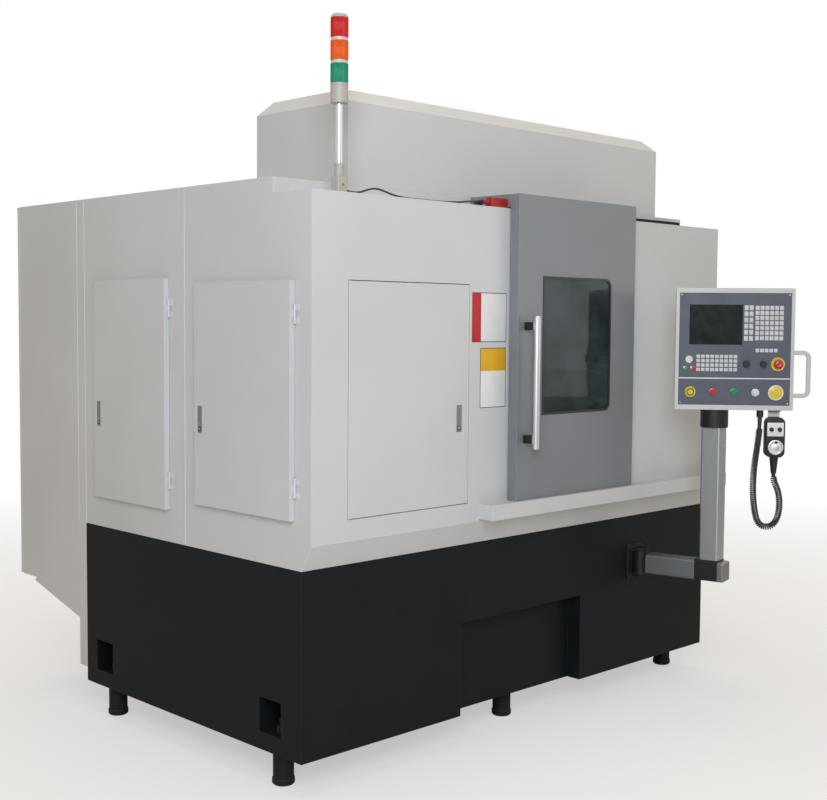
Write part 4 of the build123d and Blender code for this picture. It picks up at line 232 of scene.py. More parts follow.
def brushed_aluminium(name, colour, roughness, stretch, metallic=1.0):
    """Anodised aluminium, brushed before anodising: long fine lines that stretch the highlight one
    way. The lines are 1.5 mm apart so that they show; real ones are nearer 0.1 mm."""
    material, tree, shader = start_material(name, colour, roughness, metallic)
    lines = add_node(tree, "TexNoise", {"Scale": 1 / (1.5 * MM), "Detail": 4.0, "Roughness": 0.7},
                     {"Vector": body_place(tree, stretch)})
    painted_edge_highlight, rounded = edge_highlight_share(tree, 0.8, 0.8)
    # The near white is a highlight painted along the edges.
    tree.links.new(mix_colours(tree, painted_edge_highlight, colour, "#f4f5f5"), shader.inputs["Base Color"])
    spread_roughness(tree, shader, lines.outputs["Fac"], roughness - 0.1, roughness + 0.12)
    raise_surface(tree, shader, lines.outputs["Fac"], 0.05, 0.3, rounded)
    return material


GRINDING_WAY = (1, 1, 0.15)


def ground_tool_steel(name, colour):
    """Ground tool steel: bright, with short crossing grinding marks and a faint blue-brown drift."""
    material, tree, shader = start_material(name, colour, 0.3, 1.0)
    marks = add_node(tree, "TexNoise", {"Scale": 1 / (2 * MM), "Detail": 5.0},
                     {"Vector": body_place(tree, GRINDING_WAY)})
    cloud = add_node(tree, "TexNoise", {"Scale": 12.0}, {"Vector": body_place(tree)})
    tree.links.new(two_tones(tree, cloud.outputs["Fac"], colour, "#8d8c88"), shader.inputs["Base Color"])
    spread_roughness(tree, shader, marks.outputs["Fac"], 0.22, 0.42)
    raise_surface(tree, shader, marks.outputs["Fac"], 0.03, 0.3)
    return material


def moulded_abs(name, colour, drift, roughness=0.45):
    """Moulded ABS: a spark-eroded grain from the mould that softens the gloss, darker in the grain."""
    material, tree, shader = start_material(name, colour, roughness, 0.0, {"Specular IOR Level": 0.35})
    grains = add_node(tree, "TexNoise", {"Scale": 1 / (1.2 * MM), "Detail": 3.0},
                      {"Vector": body_place(tree)})
    painted_edge_highlight, rounded = edge_highlight_share(tree, 0.7, 0.35)
    tone = two_tones(tree, grains.outputs["Fac"], colour, drift)
    # The pale grey is a highlight painted along the edges.
    tree.links.new(mix_colours(tree, painted_edge_highlight, tone, "#8c8f90"), shader.inputs["Base Color"])
    spread_roughness(tree, shader, grains.outputs["Fac"], roughness - 0.08, roughness + 0.1)
    raise_surface(tree, shader, grains.outputs["Fac"], 0.06, 0.3, rounded)
    return material


def glossy_polycarbonate(name, colour, drift):
    """Injection moulded polycarbonate buttons: clear gloss with soft colour under it."""
    settings = {"Coat Weight": 0.5, "Coat Roughness": 0.08, "Subsurface Weight": 0.08,
                "Subsurface Scale": 4 * MM}
    material, tree, shader = start_material(name, colour, 0.25, 0.0, settings)
    cloud = add_node(tree, "TexNoise", {"Scale": 1 / (9 * MM), "Detail": 2.0}, {"Vector": body_place(tree)})
    tree.links.new(two_tones(tree, cloud.outputs["Fac"], colour, drift), shader.inputs["Base Color"])
    spread_roughness(tree, shader, cloud.outputs["Fac"], 0.2, 0.3)
    return material


def ribbed_acrylic(name, colour, glow):
    """Dyed acrylic lens with painted light: its colour is painted lighter, as a glow, where the lens faces the
    view and deeper, as shade, at its slanted flanks, with a soft gloss on each rib."""
    settings = {"Transmission Weight": 0.05, "Specular IOR Level": 0.2, "Coat Weight": 0.1,
                "Coat Roughness": 0.1}
    material, tree, shader = start_material(name, colour, 0.3, 0.0, settings)
    painted_glow_share = add_node(tree, "LayerWeight", {"Blend": 0.35})
    tone = two_tones(tree, painted_glow_share.outputs["Facing"], glow, colour, 0.1, 0.8)
    tree.links.new(tone, shader.inputs["Base Color"])
    return material


def laminated_glass(name, tint_and_painted_shade, haze):
    """Laminated safety glass: grey-green through its thickness, and dark in part as painted shade of the closed
    machine behind it, with the soft waviness of two bonded sheets and a dried haze of coolant on its inside."""
    settings = {"Transmission Weight": 0.6, "IOR": 1.25, "Specular IOR Level": 0.3}
    material, tree, shader = start_material(name, tint_and_painted_shade, 0.03, 0.0, settings)
    mist = add_node(tree, "TexNoise", {"Scale": 5.0, "Detail": 3.0}, {"Vector": body_place(tree)})
    tree.links.new(two_tones(tree, mist.outputs["Fac"], tint_and_painted_shade, haze, 0.35, 0.7), shader.inputs["Base Color"])
    wave = add_node(tree, "TexNoise", {"Scale": 9.0, "Detail": 1.0}, {"Vector": body_place(tree)})
    raise_surface(tree, shader, wave.outputs["Fac"], 0.4, 0.1)
    return material


def printed_film(name, colour, drift, roughness):
    """Screen printed polyester film: flat colour with the fine emboss that keeps fingers from
    slipping, duller than the frame round it."""
    material, tree, shader = start_material(name, colour, roughness)
    emboss = add_node(tree, "TexVoronoi", {"Scale": 1 / (1.6 * MM)}, {"Vector": body_place(tree)})
    cloud = add_node(tree, "TexNoise", {"Scale": 14.0, "Detail": 2.0}, {"Vector": body_place(tree)})
    tree.links.new(two_tones(tree, cloud.outputs["Fac"], colour, drift), shader.inputs["Base Color"])
    spread_roughness(tree, shader, cloud.outputs["Fac"], roughness - 0.06, roughness + 0.06)
    raise_surface(tree, shader, emboss.outputs["Distance"], 0.1, 0.2)
    return material


def extruded_pvc(name, colour, drift, roughness):
    """Extruded PVC or rubber: dark, with faint lines from the die and bloom that greys it."""
    material, tree, shader = start_material(name, colour, roughness, 0.0, {"Coat Weight": 0.15})
    bloom = add_node(tree, "TexNoise", {"Scale": 1 / (14 * MM), "Detail": 4.0}, {"Vector": body_place(tree)})
    tree.links.new(two_tones(tree, bloom.outputs["Fac"], colour, drift), shader.inputs["Base Color"])
    spread_roughness(tree, shader, bloom.outputs["Fac"], roughness - 0.08, roughness + 0.12)
    raise_surface(tree, shader, bloom.outputs["Fac"], 0.05, 0.3)
    return material


def display_glass(name, colour):
    """Switched off display behind glass: near black with a clean reflection and a faint green tone."""
    material, tree, shader = start_material(name, colour, 0.12, 0.0, {"Specular IOR Level": 0.2})
    smear = add_node(tree, "TexNoise", {"Scale": 25.0, "Detail": 3.0}, {"Vector": body_place(tree)})
    tree.links.new(two_tones(tree, smear.outputs["Fac"], colour, "#182220"), shader.inputs["Base Color"])
    spread_roughness(tree, shader, smear.outputs["Fac"], 0.06, 0.2)
    return material


ALONG_Z = (1, 1, 0.02)
NO_WAY = (1, 1, 1)
FINISHES = {
    # For the powder coats and cast paints the last colour is a highlight painted along the edges
    "enclosure_paint": powder_coated_steel("powder_coated_steel_white", "#c6c8c8", "#c0c2c1", "#e6e6e2"),
    "door_paint": powder_coated_steel("powder_coated_steel_grey", "#797e83", "#72777b", "#a9aeb1", 0.38),
    "cabinet_inside": powder_coated_steel("powder_coated_steel_inner", "#bdbdb8", "#b2b2ad", "#d8d8d4"),
    "machine_paint": powder_coated_steel("sprayed_machine_enamel", "#8f9691", "#858c87", "#b9beb9", 0.32),
    "panel_paint": powder_coated_steel("powder_coated_panel_frame", "#c3c4c0", "#babbb7", "#e2e3e0"),
    "base_paint": textured_cast_paint("structured_epoxy_black", "#0b0f11", "#111618", "#30363a"),
    "black_metal": textured_cast_paint("black_oxide_steel", "#17191a", "#202324", "#55595b"),
    "aluminium": brushed_aluminium("anodised_aluminium", "#c3c7ca", 0.34, ALONG_Z),
    "ground_steel": ground_tool_steel("ground_tool_steel", "#b9bbbd"),
    "black_plastic": moulded_abs("moulded_abs_black", "#111315", "#191b1d"),
    "red_plastic": moulded_abs("moulded_abs_red", "#a11517", "#931214", 0.42),
    "gasket_rubber": extruded_pvc("extruded_epdm_rubber", "#121313", "#1b1c1c", 0.55),
    "cable_sheath": extruded_pvc("extruded_pvc_sheath", "#1a1d1e", "#26292a", 0.35),
    # The glass's dark colour is partly its tint and partly painted shade of the machine behind it
    "window_glass": laminated_glass("laminated_safety_glass", "#2b3a3d", "#57696c"),
    "screen_glass": display_glass("display_glass", "#0a0f0e"),
    "panel_film": printed_film("printed_polyester_film", "#464d58", "#404752", 0.46),
    "key_film": printed_film("printed_key_film", "#c3c5c5", "#b9bbbc", 0.5),
    # Each lens's second colour is a glow painted where the lens faces the view
    "lamp_red": ribbed_acrylic("ribbed_acrylic_red", "#8f0a06", "#c4190f"),
    "lamp_orange": ribbed_acrylic("ribbed_acrylic_orange", "#b83c02", "#dd5a06"),
    "lamp_green": ribbed_acrylic("ribbed_acrylic_green", "#036043", "#0b8a63"),
    "button_red": glossy_polycarbonate("moulded_polycarbonate_red", "#bb1512", "#ab100f"),
    "button_green": glossy_polycarbonate("moulded_polycarbonate_green", "#11804a", "#0d7442"),
    "button_white": glossy_polycarbonate("moulded_polycarbonate_white", "#d6d7d5", "#cdcecb"),
    "button_yellow": glossy_polycarbonate("moulded_polycarbonate_yellow", "#d9c13c", "#cfb633"),
    "lamp_plastic": moulded_abs("moulded_abs_beige", "#aeada2", "#a5a499", 0.42),
    # A darker copy of the aluminium for the arm: painted shade, as the arm lies more in shade than the column
    "arm_aluminium_painted_shade": brushed_aluminium("extruded_arm_aluminium", "#7d8183", 0.42, ALONG_Z, 0.9),
    "column_aluminium": brushed_aluminium("extruded_column_aluminium", "#a0a4a5", 0.4, ALONG_Z, 0.95),
    "latch_zinc": brushed_aluminium("die_cast_zinc", "#7c8078", 0.5, NO_WAY, 0.5),
    "plate_white": printed_film("printed_plate_white", "#dedfdc", "#d8d9d6", 0.4),
    "plate_line": printed_film("printed_plate_line", "#4b4d48", "#55574f", 0.5),
    "plate_red": printed_film("printed_plate_red", "#b80f10", "#ad0c0d", 0.5),
    "plate_yellow": printed_film("printed_plate_yellow", "#dba800", "#d29f00", 0.5),
}

# Finishes that the record has no slot for, with the slot that is nearest to each
NODE_FINISHES = {
    # The arm takes the darker copy of the aluminium, which is painted shade
    "arm_tube": "arm_aluminium_painted_shade",
    "column_tube": "column_aluminium",
    "front_access_latch": "latch_zinc",
    "left_front_latch": "latch_zinc",
    "left_rear_latch": "latch_zinc",
}


# Rings of points, skinned into closed meshes

def round_ring(radius, height, count=48, ribs=0, depth=0.0):
    """A ring about z; ribs of a depth go in from its radius."""
    ring = []
    for i in range(count):
        angle = 2 * pi * i / count
        reach = radius - depth * (0.5 - 0.5 * cos(ribs * angle))
        ring.append((reach * cos(angle), reach * sin(angle), height))
    return ring


def turned(profile, count=48, middle=(0, 0)):
    """Rings of a turned piece from pairs of radius and height, bottom to top."""
    return [
        [(x + middle[0], y + middle[1], z) for x, y, z in round_ring(radius, height, count)]
        for radius, height in profile
    ]


def rounded_rectangle(width, height, corner, middle=(0, 0), steps=5):
    """Points of a rectangle with round corners, counterclockwise."""
    points = []
    for quarter, (sx, sy) in enumerate(((1, 1), (-1, 1), (-1, -1), (1, -1))):
        cx = middle[0] + sx * (width / 2 - corner)
        cy = middle[1] + sy * (height / 2 - corner)
        for step in range(steps + 1):
            angle = (quarter + step / steps) * pi / 2
            points.append((cx + corner * cos(angle), cy + corner * sin(angle)))
    return points


def slab(width, height, corner, low, high, edge, middle=(0, 0)):
    """Rings of a plate with round corners and a rounded upper edge."""
    rings = []
    for inset, z in ((0, low), (0, high - edge), (0.3 * edge, high - 0.3 * edge), (edge, high)):
        outline = rounded_rectangle(width - 2 * inset, height - 2 * inset, max(corner - inset, 0.1), middle)
        rings.append([(x, y, z) for x, y in outline])
    return rings


def carried_frames(points):
    """At each point of a line in space: the point and two directions square to the line, carried along
    without twist."""
    tangents = [
        (points[min(i + 1, len(points) - 1)] - points[max(i - 1, 0)]).normalized()
        for i in range(len(points))
    ]
    across = tangents[0].orthogonal().normalized()
    frames = []
    for point, tangent in zip(points, tangents):
        across = (across - tangent * across.dot(tangent)).normalized()
        frames.append((point, across, tangent.cross(across)))
    return frames


def tube(points, radii, count=12):
    """Rings of a tube along a line, with a radius at each point."""
    return [
        [point + (u * cos(2 * pi * i / count) + v * sin(2 * pi * i / count)) * radius for i in range(count)]
        for (point, u, v), radius in zip(carried_frames(points), radii)
    ]


def add_skin(mesh, rings, joined):
    """Skin a row of rings; the ends are closed, or joined to each other."""
    rows = [[mesh.verts.new(point) for point in ring] for ring in rings]
    pairs = list(zip(rows, rows[1:]))
    if joined:
        pairs.append((rows[-1], rows[0]))
    else:
        mesh.faces.new(list(reversed(rows[0])))
        mesh.faces.new(rows[-1])
    for low, high in pairs:
        for i, corner in enumerate(low):
            j = (i + 1) % len(low)
            mesh.faces.new((corner, low[j], high[j], high[i]))


SHARP_ANGLE = radians(38)


def make_piece(name, skins, place, finish, body, stands_for=(), joined=False, unit=MM):
    """A piece from skinned rings, in its material, riding on its body and standing for CAD nodes."""
    mesh = bmesh.new()
    for rings in skins:
        add_skin(mesh, rings, joined)
    bmesh.ops.transform(mesh, matrix=place @ Matrix.Scale(unit, 4), verts=mesh.verts)
    bmesh.ops.recalc_face_normals(mesh, faces=mesh.faces)
    for face in mesh.faces:
        face.smooth = True
    for edge in mesh.edges:
        edge.smooth = edge.calc_face_angle(0) < SHARP_ANGLE
    data = bpy.data.meshes.new(name)
    mesh.to_mesh(data)
    mesh.free()
    piece = bpy.data.objects.new(name, data)
    bpy.context.collection.objects.link(piece)
    data.materials.append(FINISHES[finish])
    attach(piece, body)
    if stands_for:
        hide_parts(*stands_for)
    return piece


make_camera()

# Cords: each route's points are steps in millimetres from the place where the cord leaves the object

CABLE_DIAMETER = 7
CABLE_RISE = 9
CABLE_ROUTE = (
    (0, 0, 0), (28, 0, 0), (64, -8, -1), (98, -16, 12), (130, -20, 18), (166, -21, 12), (212, -22, 0),
    (278, -18, -5), (352, -14, -4), (436, -18, -5), (518, -27, -3), (580, -37, 4), (619, -41, 8),
    (645, -41, 8),
)
CURLY_DIAMETER = 28
CURLY_START = (110, -278, -15)
CURLY_ROUTE = (
    (0, 0, 0), (0, -54, 0), (-8, -120, 3), (-18, -194, 4), (-22, -268, 3), (-20, -338, 0),
    (-10, -402, -3), (3, -444, -5), (36, -459, -6), (70, -444, -5), (86, -399, -3), (88, -350, 0),
    (80, -301, 1), (60, -262, 0), (60, -231, 0),
)

# Boots: the radii at the wide and the narrow end, and how the ribs are cut
CABLE_BOOT = (25, 7.5, 4.4)
SLEEVE_RADII = (9.5, 7.5)
TAIL_RADII = (9, 8)
BOOT_SAMPLES = 200
BOOT_STEPS = 28
BOOT_SIDES = 20
BOOT_GROOVE = 0.6

# Curly cord: its wire, its turns, and the straight sleeve where it leaves the panel
WIRE_RADIUS = 3.1
WIRE_SIDES = 8
COIL_PITCH = 7.6
TURN_POINTS = 14
SLEEVE_LENGTH = 52
COIL_RAMP = 14
COIL_END = 12


def lay_route(name, places):
    """A NURBS curve with the route's places as its control points."""
    data = bpy.data.curves.new(name, "CURVE")
    data.dimensions = "3D"
    spline = data.splines.new("NURBS")
    spline.points.add(len(places) - 1)
    for point, place in zip(spline.points, places):
        point.co = (*place, 1)
    spline.order_u = 3
    spline.use_endpoint_u = True
    data.resolution_u = 16
    curve = bpy.data.objects.new(name, data)
    bpy.context.collection.objects.link(curve)
    return curve


def read_route(curve):
    """The points along a route's spline, as Blender gives them with no bevel."""
    mesh = bpy.data.meshes.new_from_object(curve)
    points = [vertex.co.copy() for vertex in mesh.vertices]
    bpy.data.meshes.remove(mesh)
    return points


def even_points(points, count):
    """The same line with a count of points that are evenly spaced."""
    lengths = [0.0]
    for first, second in zip(points, points[1:]):
        lengths.append(lengths[-1] + (second - first).length)
    result, index = [], 0
    for i in range(count):
        target = lengths[-1] * i / (count - 1)
        while index < len(points) - 2 and lengths[index + 1] < target:
            index += 1
        span = lengths[index + 1] - lengths[index]
        result.append(points[index].lerp(points[index + 1], (target - lengths[index]) / span))
    return result, lengths[-1]


def boot_rings(points, length, wide, narrow):
    """Rings of a ribbed boot on the first stretch of a line, wider where it leaves the fitting."""
    line, whole = even_points(points, BOOT_SAMPLES)
    used = [point for i, point in enumerate(line) if whole * i / (len(line) - 1) <= length * MM]
    stretch, _ = even_points(used, BOOT_STEPS)
    radii = []
    for i in range(BOOT_STEPS):
        groove = BOOT_GROOVE if i % 4 == 2 else 0
        radii.append((wide + (narrow - wide) * i / (BOOT_STEPS - 1) - groove) * MM)
    return tube(stretch, radii, BOOT_SIDES)


def make_interlock_cable():
    """The lamp's cable along the low roof strip to the plug of the interlock switch."""
    start = Vector((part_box("interlock_cable")[0].x, sum(corner.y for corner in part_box("lamp_stand")) / 2, 0))
    start.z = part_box("interlock_switch")[0].z + CABLE_RISE * MM
    curve = lay_route("interlock_lead", [start + Vector(step) * MM for step in CABLE_ROUTE])
    points = read_route(curve)
    curve.data.bevel_depth = CABLE_DIAMETER / 2 * MM
    curve.data.bevel_resolution = 6
    curve.data.materials.append(FINISHES["cable_sheath"])
    boots = [
        make_piece(name, [boot_rings(line, *CABLE_BOOT)], Matrix(), "black_plastic", "machine", unit=1)
        for name, line in (("lamp_box_boot", points), ("switch_plug_boot", points[::-1]))
    ]
    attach(curve, "machine")
    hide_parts("interlock_cable")
    _, length = even_points(points, 2)


def make_curly_cord():
    """The handwheel unit's curly cord: a helix about the route, straight inside its sleeve."""
    start = Vector(CURLY_START)
    curve = lay_route("curly_route", [PANEL @ ((start + Vector(step)) * MM) for step in CURLY_ROUTE])
    points = read_route(curve)
    bpy.data.objects.remove(curve)
    _, length = even_points(points, 2)
    turns = length / (COIL_PITCH * MM)
    line, _ = even_points(points, ceil(turns * TURN_POINTS))
    step = length / MM / (len(line) - 1)
    coil_radius = CURLY_DIAMETER / 2 - WIRE_RADIUS
    wire = []
    for i, (point, u, v) in enumerate(carried_frames(line)):
        along = i * step
        rise = min(1, max(0, (along - SLEEVE_LENGTH + COIL_RAMP) / COIL_RAMP))
        fall = min(1, max(0, (length / MM - along - COIL_END / 2) / COIL_END))
        reach = coil_radius * min(rise, fall) * MM
        angle = 2 * pi * i / TURN_POINTS
        wire.append(point + (u * cos(angle) + v * sin(angle)) * reach)
    skins = [
        tube(wire, [WIRE_RADIUS * MM] * len(wire), WIRE_SIDES),
        boot_rings(points, SLEEVE_LENGTH, *SLEEVE_RADII),
        boot_rings(points[::-1], COIL_END, *TAIL_RADII),
    ]
    cord = make_piece("curly_cord", skins, Matrix(), "cable_sheath", "panel", ["handwheel_cord"], unit=1)


make_interlock_cable()
make_curly_cord()

# Every CAD node takes the finish of its slot in the record
for row in frame["record"]["subparts"]:
    for material_slot in frame["nodes"][row["node"]].material_slots:
        material_slot.material = FINISHES[NODE_FINISHES.get(row["node"], row["material_slot"])]


# Tower lamp: each lens's rim is inset, height and rib depth; the stand's sizes go from its foot up
LENSES = ("lamp_green", "lamp_orange", "lamp_red")
LENS_RIBS = 44
LENS_WALL = 4
LENS_RIM = ((0.8, 0, 0), (0, 1.2, 0), (0, 3, 0), (0, 3.6, 1.3))
LAMP_FOOT = (120, 60, 3)
LAMP_BOX = 40
LAMP_BOX_TOP = 55
SOCKET_RADIUS = 16
SOCKET_TOP = 100
SOCKET_RIM = 8
POLE_RADIUS = 12
LAMP_BASE = 66
BASE_GROOVE = ((0, 9), (1, 8.4), (1, 7), (0, 6.4), (0, 0.4))
STEM_RADIUS = 9
RING_RADIUS = 28
RING_GAP = 0.2
CAP_EDGE = 4
LAMP_PLUG = ((5, 0), (5, 0.6), (4, 1))
PLUG_HEIGHT = 28


def make_lens(node):
    """A ribbed lens: a shell with fine upright ribs that stands for its plain drum."""
    low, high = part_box(node)
    radius = (high.x - low.x) / 2 / MM
    height = (high.z - low.z) / MM
    count = 4 * LENS_RIBS
    lower = [round_ring(radius - inset, z, count, LENS_RIBS, depth) for inset, z, depth in LENS_RIM]
    upper = [[(x, y, height - z) for x, y, z in ring] for ring in reversed(lower)]
    inner = [round_ring(radius - LENS_WALL, z, count) for z in (height, 0)]
    place = Matrix.Translation(((low.x + high.x) / 2, (low.y + high.y) / 2, low.z))
    name = node.replace("lamp_", "ribbed_lens_")
    make_piece(name, [lower + upper + inner], place, node, "machine", [node], joined=True)


def make_lamp_stand():
    """The lamp's foot and box, pole, housing, stem with rings, and cap, from the foot's underside up."""
    low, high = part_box("lamp_stand")
    stack = [[corner.z / MM - low.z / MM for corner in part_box(lens)] for lens in LENSES]
    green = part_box("lamp_green")
    axis = Vector(((green[0].x + green[1].x) / 2, (green[0].y + green[1].y) / 2, low.z))
    radius = (green[1].x - green[0].x) / 2 / MM
    place = Matrix.Translation(axis)

    length, width, thick = LAMP_FOOT
    foot = slab(length, width, 3, 0, thick, 0.6, ((length - LAMP_BOX) / 2, 0))
    box = slab(LAMP_BOX, LAMP_BOX, 4, 0, LAMP_BOX_TOP, 2)
    socket = turned([
        (SOCKET_RADIUS, LAMP_BOX_TOP - 4), (SOCKET_RADIUS, SOCKET_TOP - SOCKET_RIM),
        (SOCKET_RADIUS + 1, SOCKET_TOP - SOCKET_RIM), (SOCKET_RADIUS + 1, SOCKET_TOP - 1),
        (SOCKET_RADIUS, SOCKET_TOP),
    ])
    make_piece("lamp_foot", [foot, box, socket], place, "lamp_plastic", "machine", ["lamp_stand"])

    seat = stack[0][0]
    base_low = seat - LAMP_BASE
    pole = turned([(POLE_RADIUS, SOCKET_TOP - 6), (POLE_RADIUS, base_low + 3)])
    make_piece("lamp_pole", [pole], place, "aluminium", "machine", ["lamp_stand"])
    housing = [(radius - 2, base_low), (radius, base_low + 2)]
    housing += [(radius - inset, seat - drop) for inset, drop in BASE_GROOVE]
    make_piece("lamp_housing", [turned(housing, 64)], place, "lamp_plastic", "machine", ["lamp_stand"])

    stem = [(STEM_RADIUS, seat - 1)]
    for (_, ring_low), (ring_high, _) in zip(stack, stack[1:]):
        stem += [(STEM_RADIUS, ring_low), (RING_RADIUS, ring_low + RING_GAP),
                 (RING_RADIUS, ring_high - RING_GAP), (STEM_RADIUS, ring_high)]
    stem.append((STEM_RADIUS, stack[-1][1] + 1))
    make_piece("lamp_stem", [turned(stem, 64)], place, "panel_paint", "machine", ["lamp_stand"])

    top, cap_low = (high.z - low.z) / MM, stack[-1][1] + 0.3
    cap = [(radius, cap_low), (radius, cap_low + CAP_EDGE), (radius - 6, top - 0.6), (radius - 7, top)]
    make_piece("lamp_cap", [turned(cap, 64)], place, "lamp_plastic", "machine", ["lamp_stand"])

    box_side = Matrix.Translation(axis - Vector((0, LAMP_BOX / 2, 0)) * MM) @ Matrix.Rotation(pi / 2, 4, "X")
    make_piece("lamp_box_plug", [turned(LAMP_PLUG, 24, (0, PLUG_HEIGHT))], box_side, "lamp_orange", "machine")


for lens in LENSES:
    make_lens(lens)
make_lamp_stand()

# Panel: each field of film keys is its middle, columns, rows, pitch and key size
KEY_HEIGHT = 1.6
KEY_CORNER = 1.6
FACE = -2
KEY_FIELDS = (
    ((54.5, 107), 2, 6, (20, 25), (16, 20)),
    ((137, 107.5), 6, 7, (19.4, 20.6), (16, 17)),
    ((128, -4.5), 5, 1, (18.2, 18), (15, 15)),
    ((-71, -57.5), 9, 4, (18.7, 18), (15, 14)),
)
LEGEND_SIZE = 20
LEGEND_Y = -81
LEGEND_X = {"button_green": -196, "button_red": -168}
STOP_PLACE = (175, -60)
BEZEL_BORE = 11.6
BEZEL_RADIUS = 15.8
DIVIDER_SIZE = (448, 4.4)
DIVIDER_HEIGHT = -120

# Turned pieces of the panel as pairs of radius and height: the ring under the emergency stop, the
# sounder, the blank disc with its border, the key switch's bezel and the stop's mushroom head
STOP_RING = ((9.6, FACE), (28, FACE), (28, 0.2), (27, 1), (21, 1), (20, 0.4), (9.6, 0.4))
SOUNDER = ((15, FACE), (15, 0), (14, 1), (9, 1), (8.4, 0.3), (4, 0.3), (3.4, 1))
BLANK_BORDER = ((27.5, FACE), (31, FACE), (31, -0.6), (30.4, 0), (27.5, 0))
BLANK_FIELD = ((27.5, FACE), (27.5, -0.6), (26.7, -0.4))
SELECTOR_BEZEL = ((15.4, FACE), (23, FACE), (23, 0), (21.5, 2.5), (17.4, 6), (15.4, 6))
STOP_HEAD = (
    (9, FACE - 4), (9, 9), (13, 10), (18.2, 13), (19, 16), (19, 20), (17.6, 24), (14, 26.8), (8, 28),
    (7, 27.6), (2, 27.4),
)
DISCS = (
    ("stop_ring", STOP_RING, 64, STOP_PLACE, "button_yellow", ["panel_keys"], True),
    ("sounder_cap", SOUNDER, 40, (-183, -43), "button_white", ["panel_keys"], False),
    ("blank_border", BLANK_BORDER, 64, (169, BUTTON_ROW), "plate_white", ["panel_keys"], True),
    ("blank_disc", BLANK_FIELD, 64, (169, BUTTON_ROW), "button_yellow", ["panel_keys"], False),
    ("selector_bezel", SELECTOR_BEZEL, 64, (KEY_SWITCH_X, BUTTON_ROW), "button_yellow", (), True),
)


def make_keys():
    """The film keys, each a low pillow with round corners, and the two coloured ones."""
    skins = []
    for middle, columns, rows, pitch, size in KEY_FIELDS:
        for column in range(columns):
            for row in range(rows):
                x = middle[0] + (column - (columns - 1) / 2) * pitch[0]
                y = middle[1] + (row - (rows - 1) / 2) * pitch[1]
                skins.append(slab(*size, KEY_CORNER, FACE, FACE + KEY_HEIGHT, 0.7, (x, y)))
    make_piece("film_keys", skins, PANEL, "key_film", "panel", ["panel_keys"])
    for finish, x in LEGEND_X.items():
        square = slab(LEGEND_SIZE, LEGEND_SIZE, 1, FACE, FACE + KEY_HEIGHT, 0.5, (x, LEGEND_Y))
        name = finish.replace("button_", "legend_")
        make_piece(name, [square], PANEL, finish, "panel", ["panel_keys"])


def make_discs():
    """The turned pieces that lie on the panel's face."""
    for name, profile, count, middle, finish, stands_for, joined in DISCS:
        make_piece(name, [turned(profile, count, middle)], PANEL, finish, "panel", stands_for, joined)


def make_bezels():
    """Coloured rings round the three push buttons, and the bright divider over their row."""
    profile = ((BEZEL_BORE, FACE), (BEZEL_RADIUS, FACE), (BEZEL_RADIUS, 1.2), (BEZEL_RADIUS - 1, 1.8),
               (BEZEL_BORE, 1.8))
    for name in ("red", "green", "white"):
        low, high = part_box(f"{name}_button")
        place = PANEL.inverted() @ ((low + high) / 2) / MM
        ring = turned(profile, 48, (place.x, place.y))
        make_piece(f"{name}_bezel", [ring], PANEL, f"button_{name}", "panel", joined=True)
    divider = slab(*DIVIDER_SIZE, 0.5, FACE - 3, FACE + 0.8, 0.3, (0, DIVIDER_HEIGHT))
    make_piece("panel_divider", [divider], PANEL, "plate_white", "panel")


def make_stop():
    """The mushroom head of the emergency stop, with its waist and a dished crown."""
    head = turned(STOP_HEAD, 64, STOP_PLACE)
    make_piece("stop_mushroom", [head], PANEL, "button_red", "stop_button", ["emergency_stop"])


# The panel's handle: a flattened bar that goes out, down and back, with a bend at each corner
HANDLE_BAR = (18, 15, 5)
HANDLE_DEPTH = -15
HANDLE_INNER = 239
HANDLE_OUTER = 300
HANDLE_TOP = -13
HANDLE_DROP = 176
HANDLE_BEND = 22
BEND_STEPS = 8


def bar_along(points, width, depth, corner):
    """Rings of a bar along a line in the panel's own plane."""
    rings = []
    for i, (x, y) in enumerate(points):
        before, after = points[max(i - 1, 0)], points[min(i + 1, len(points) - 1)]
        tangent = Vector((after[0] - before[0], after[1] - before[1])).normalized()
        rings.append([
            (x - tangent.y * u, y + tangent.x * u, v) for u, v in rounded_rectangle(width, depth, corner)
        ])
    return rings


def make_panel_handle():
    """The C-shaped handle on the side of the panel."""
    straight = HANDLE_OUTER - HANDLE_BEND
    bottom = HANDLE_TOP - HANDLE_DROP
    points = [(HANDLE_INNER, HANDLE_TOP), (straight, HANDLE_TOP)]
    for corner, centre in ((90, HANDLE_TOP - HANDLE_BEND), (0, bottom + HANDLE_BEND)):
        for step in range(1, BEND_STEPS + 1):
            angle = radians(corner - 90 * step / BEND_STEPS)
            points.append((straight + HANDLE_BEND * cos(angle), centre + HANDLE_BEND * sin(angle)))
    points += [(straight, bottom), (HANDLE_INNER, bottom)]
    place = PANEL @ Matrix.Translation((0, 0, HANDLE_DEPTH * MM))
    bar = bar_along(points, *HANDLE_BAR)
    make_piece("panel_grip", [bar], place, "panel_paint", "panel", ["panel_handle"])


make_keys()
make_discs()
make_bezels()
make_stop()
make_panel_handle()

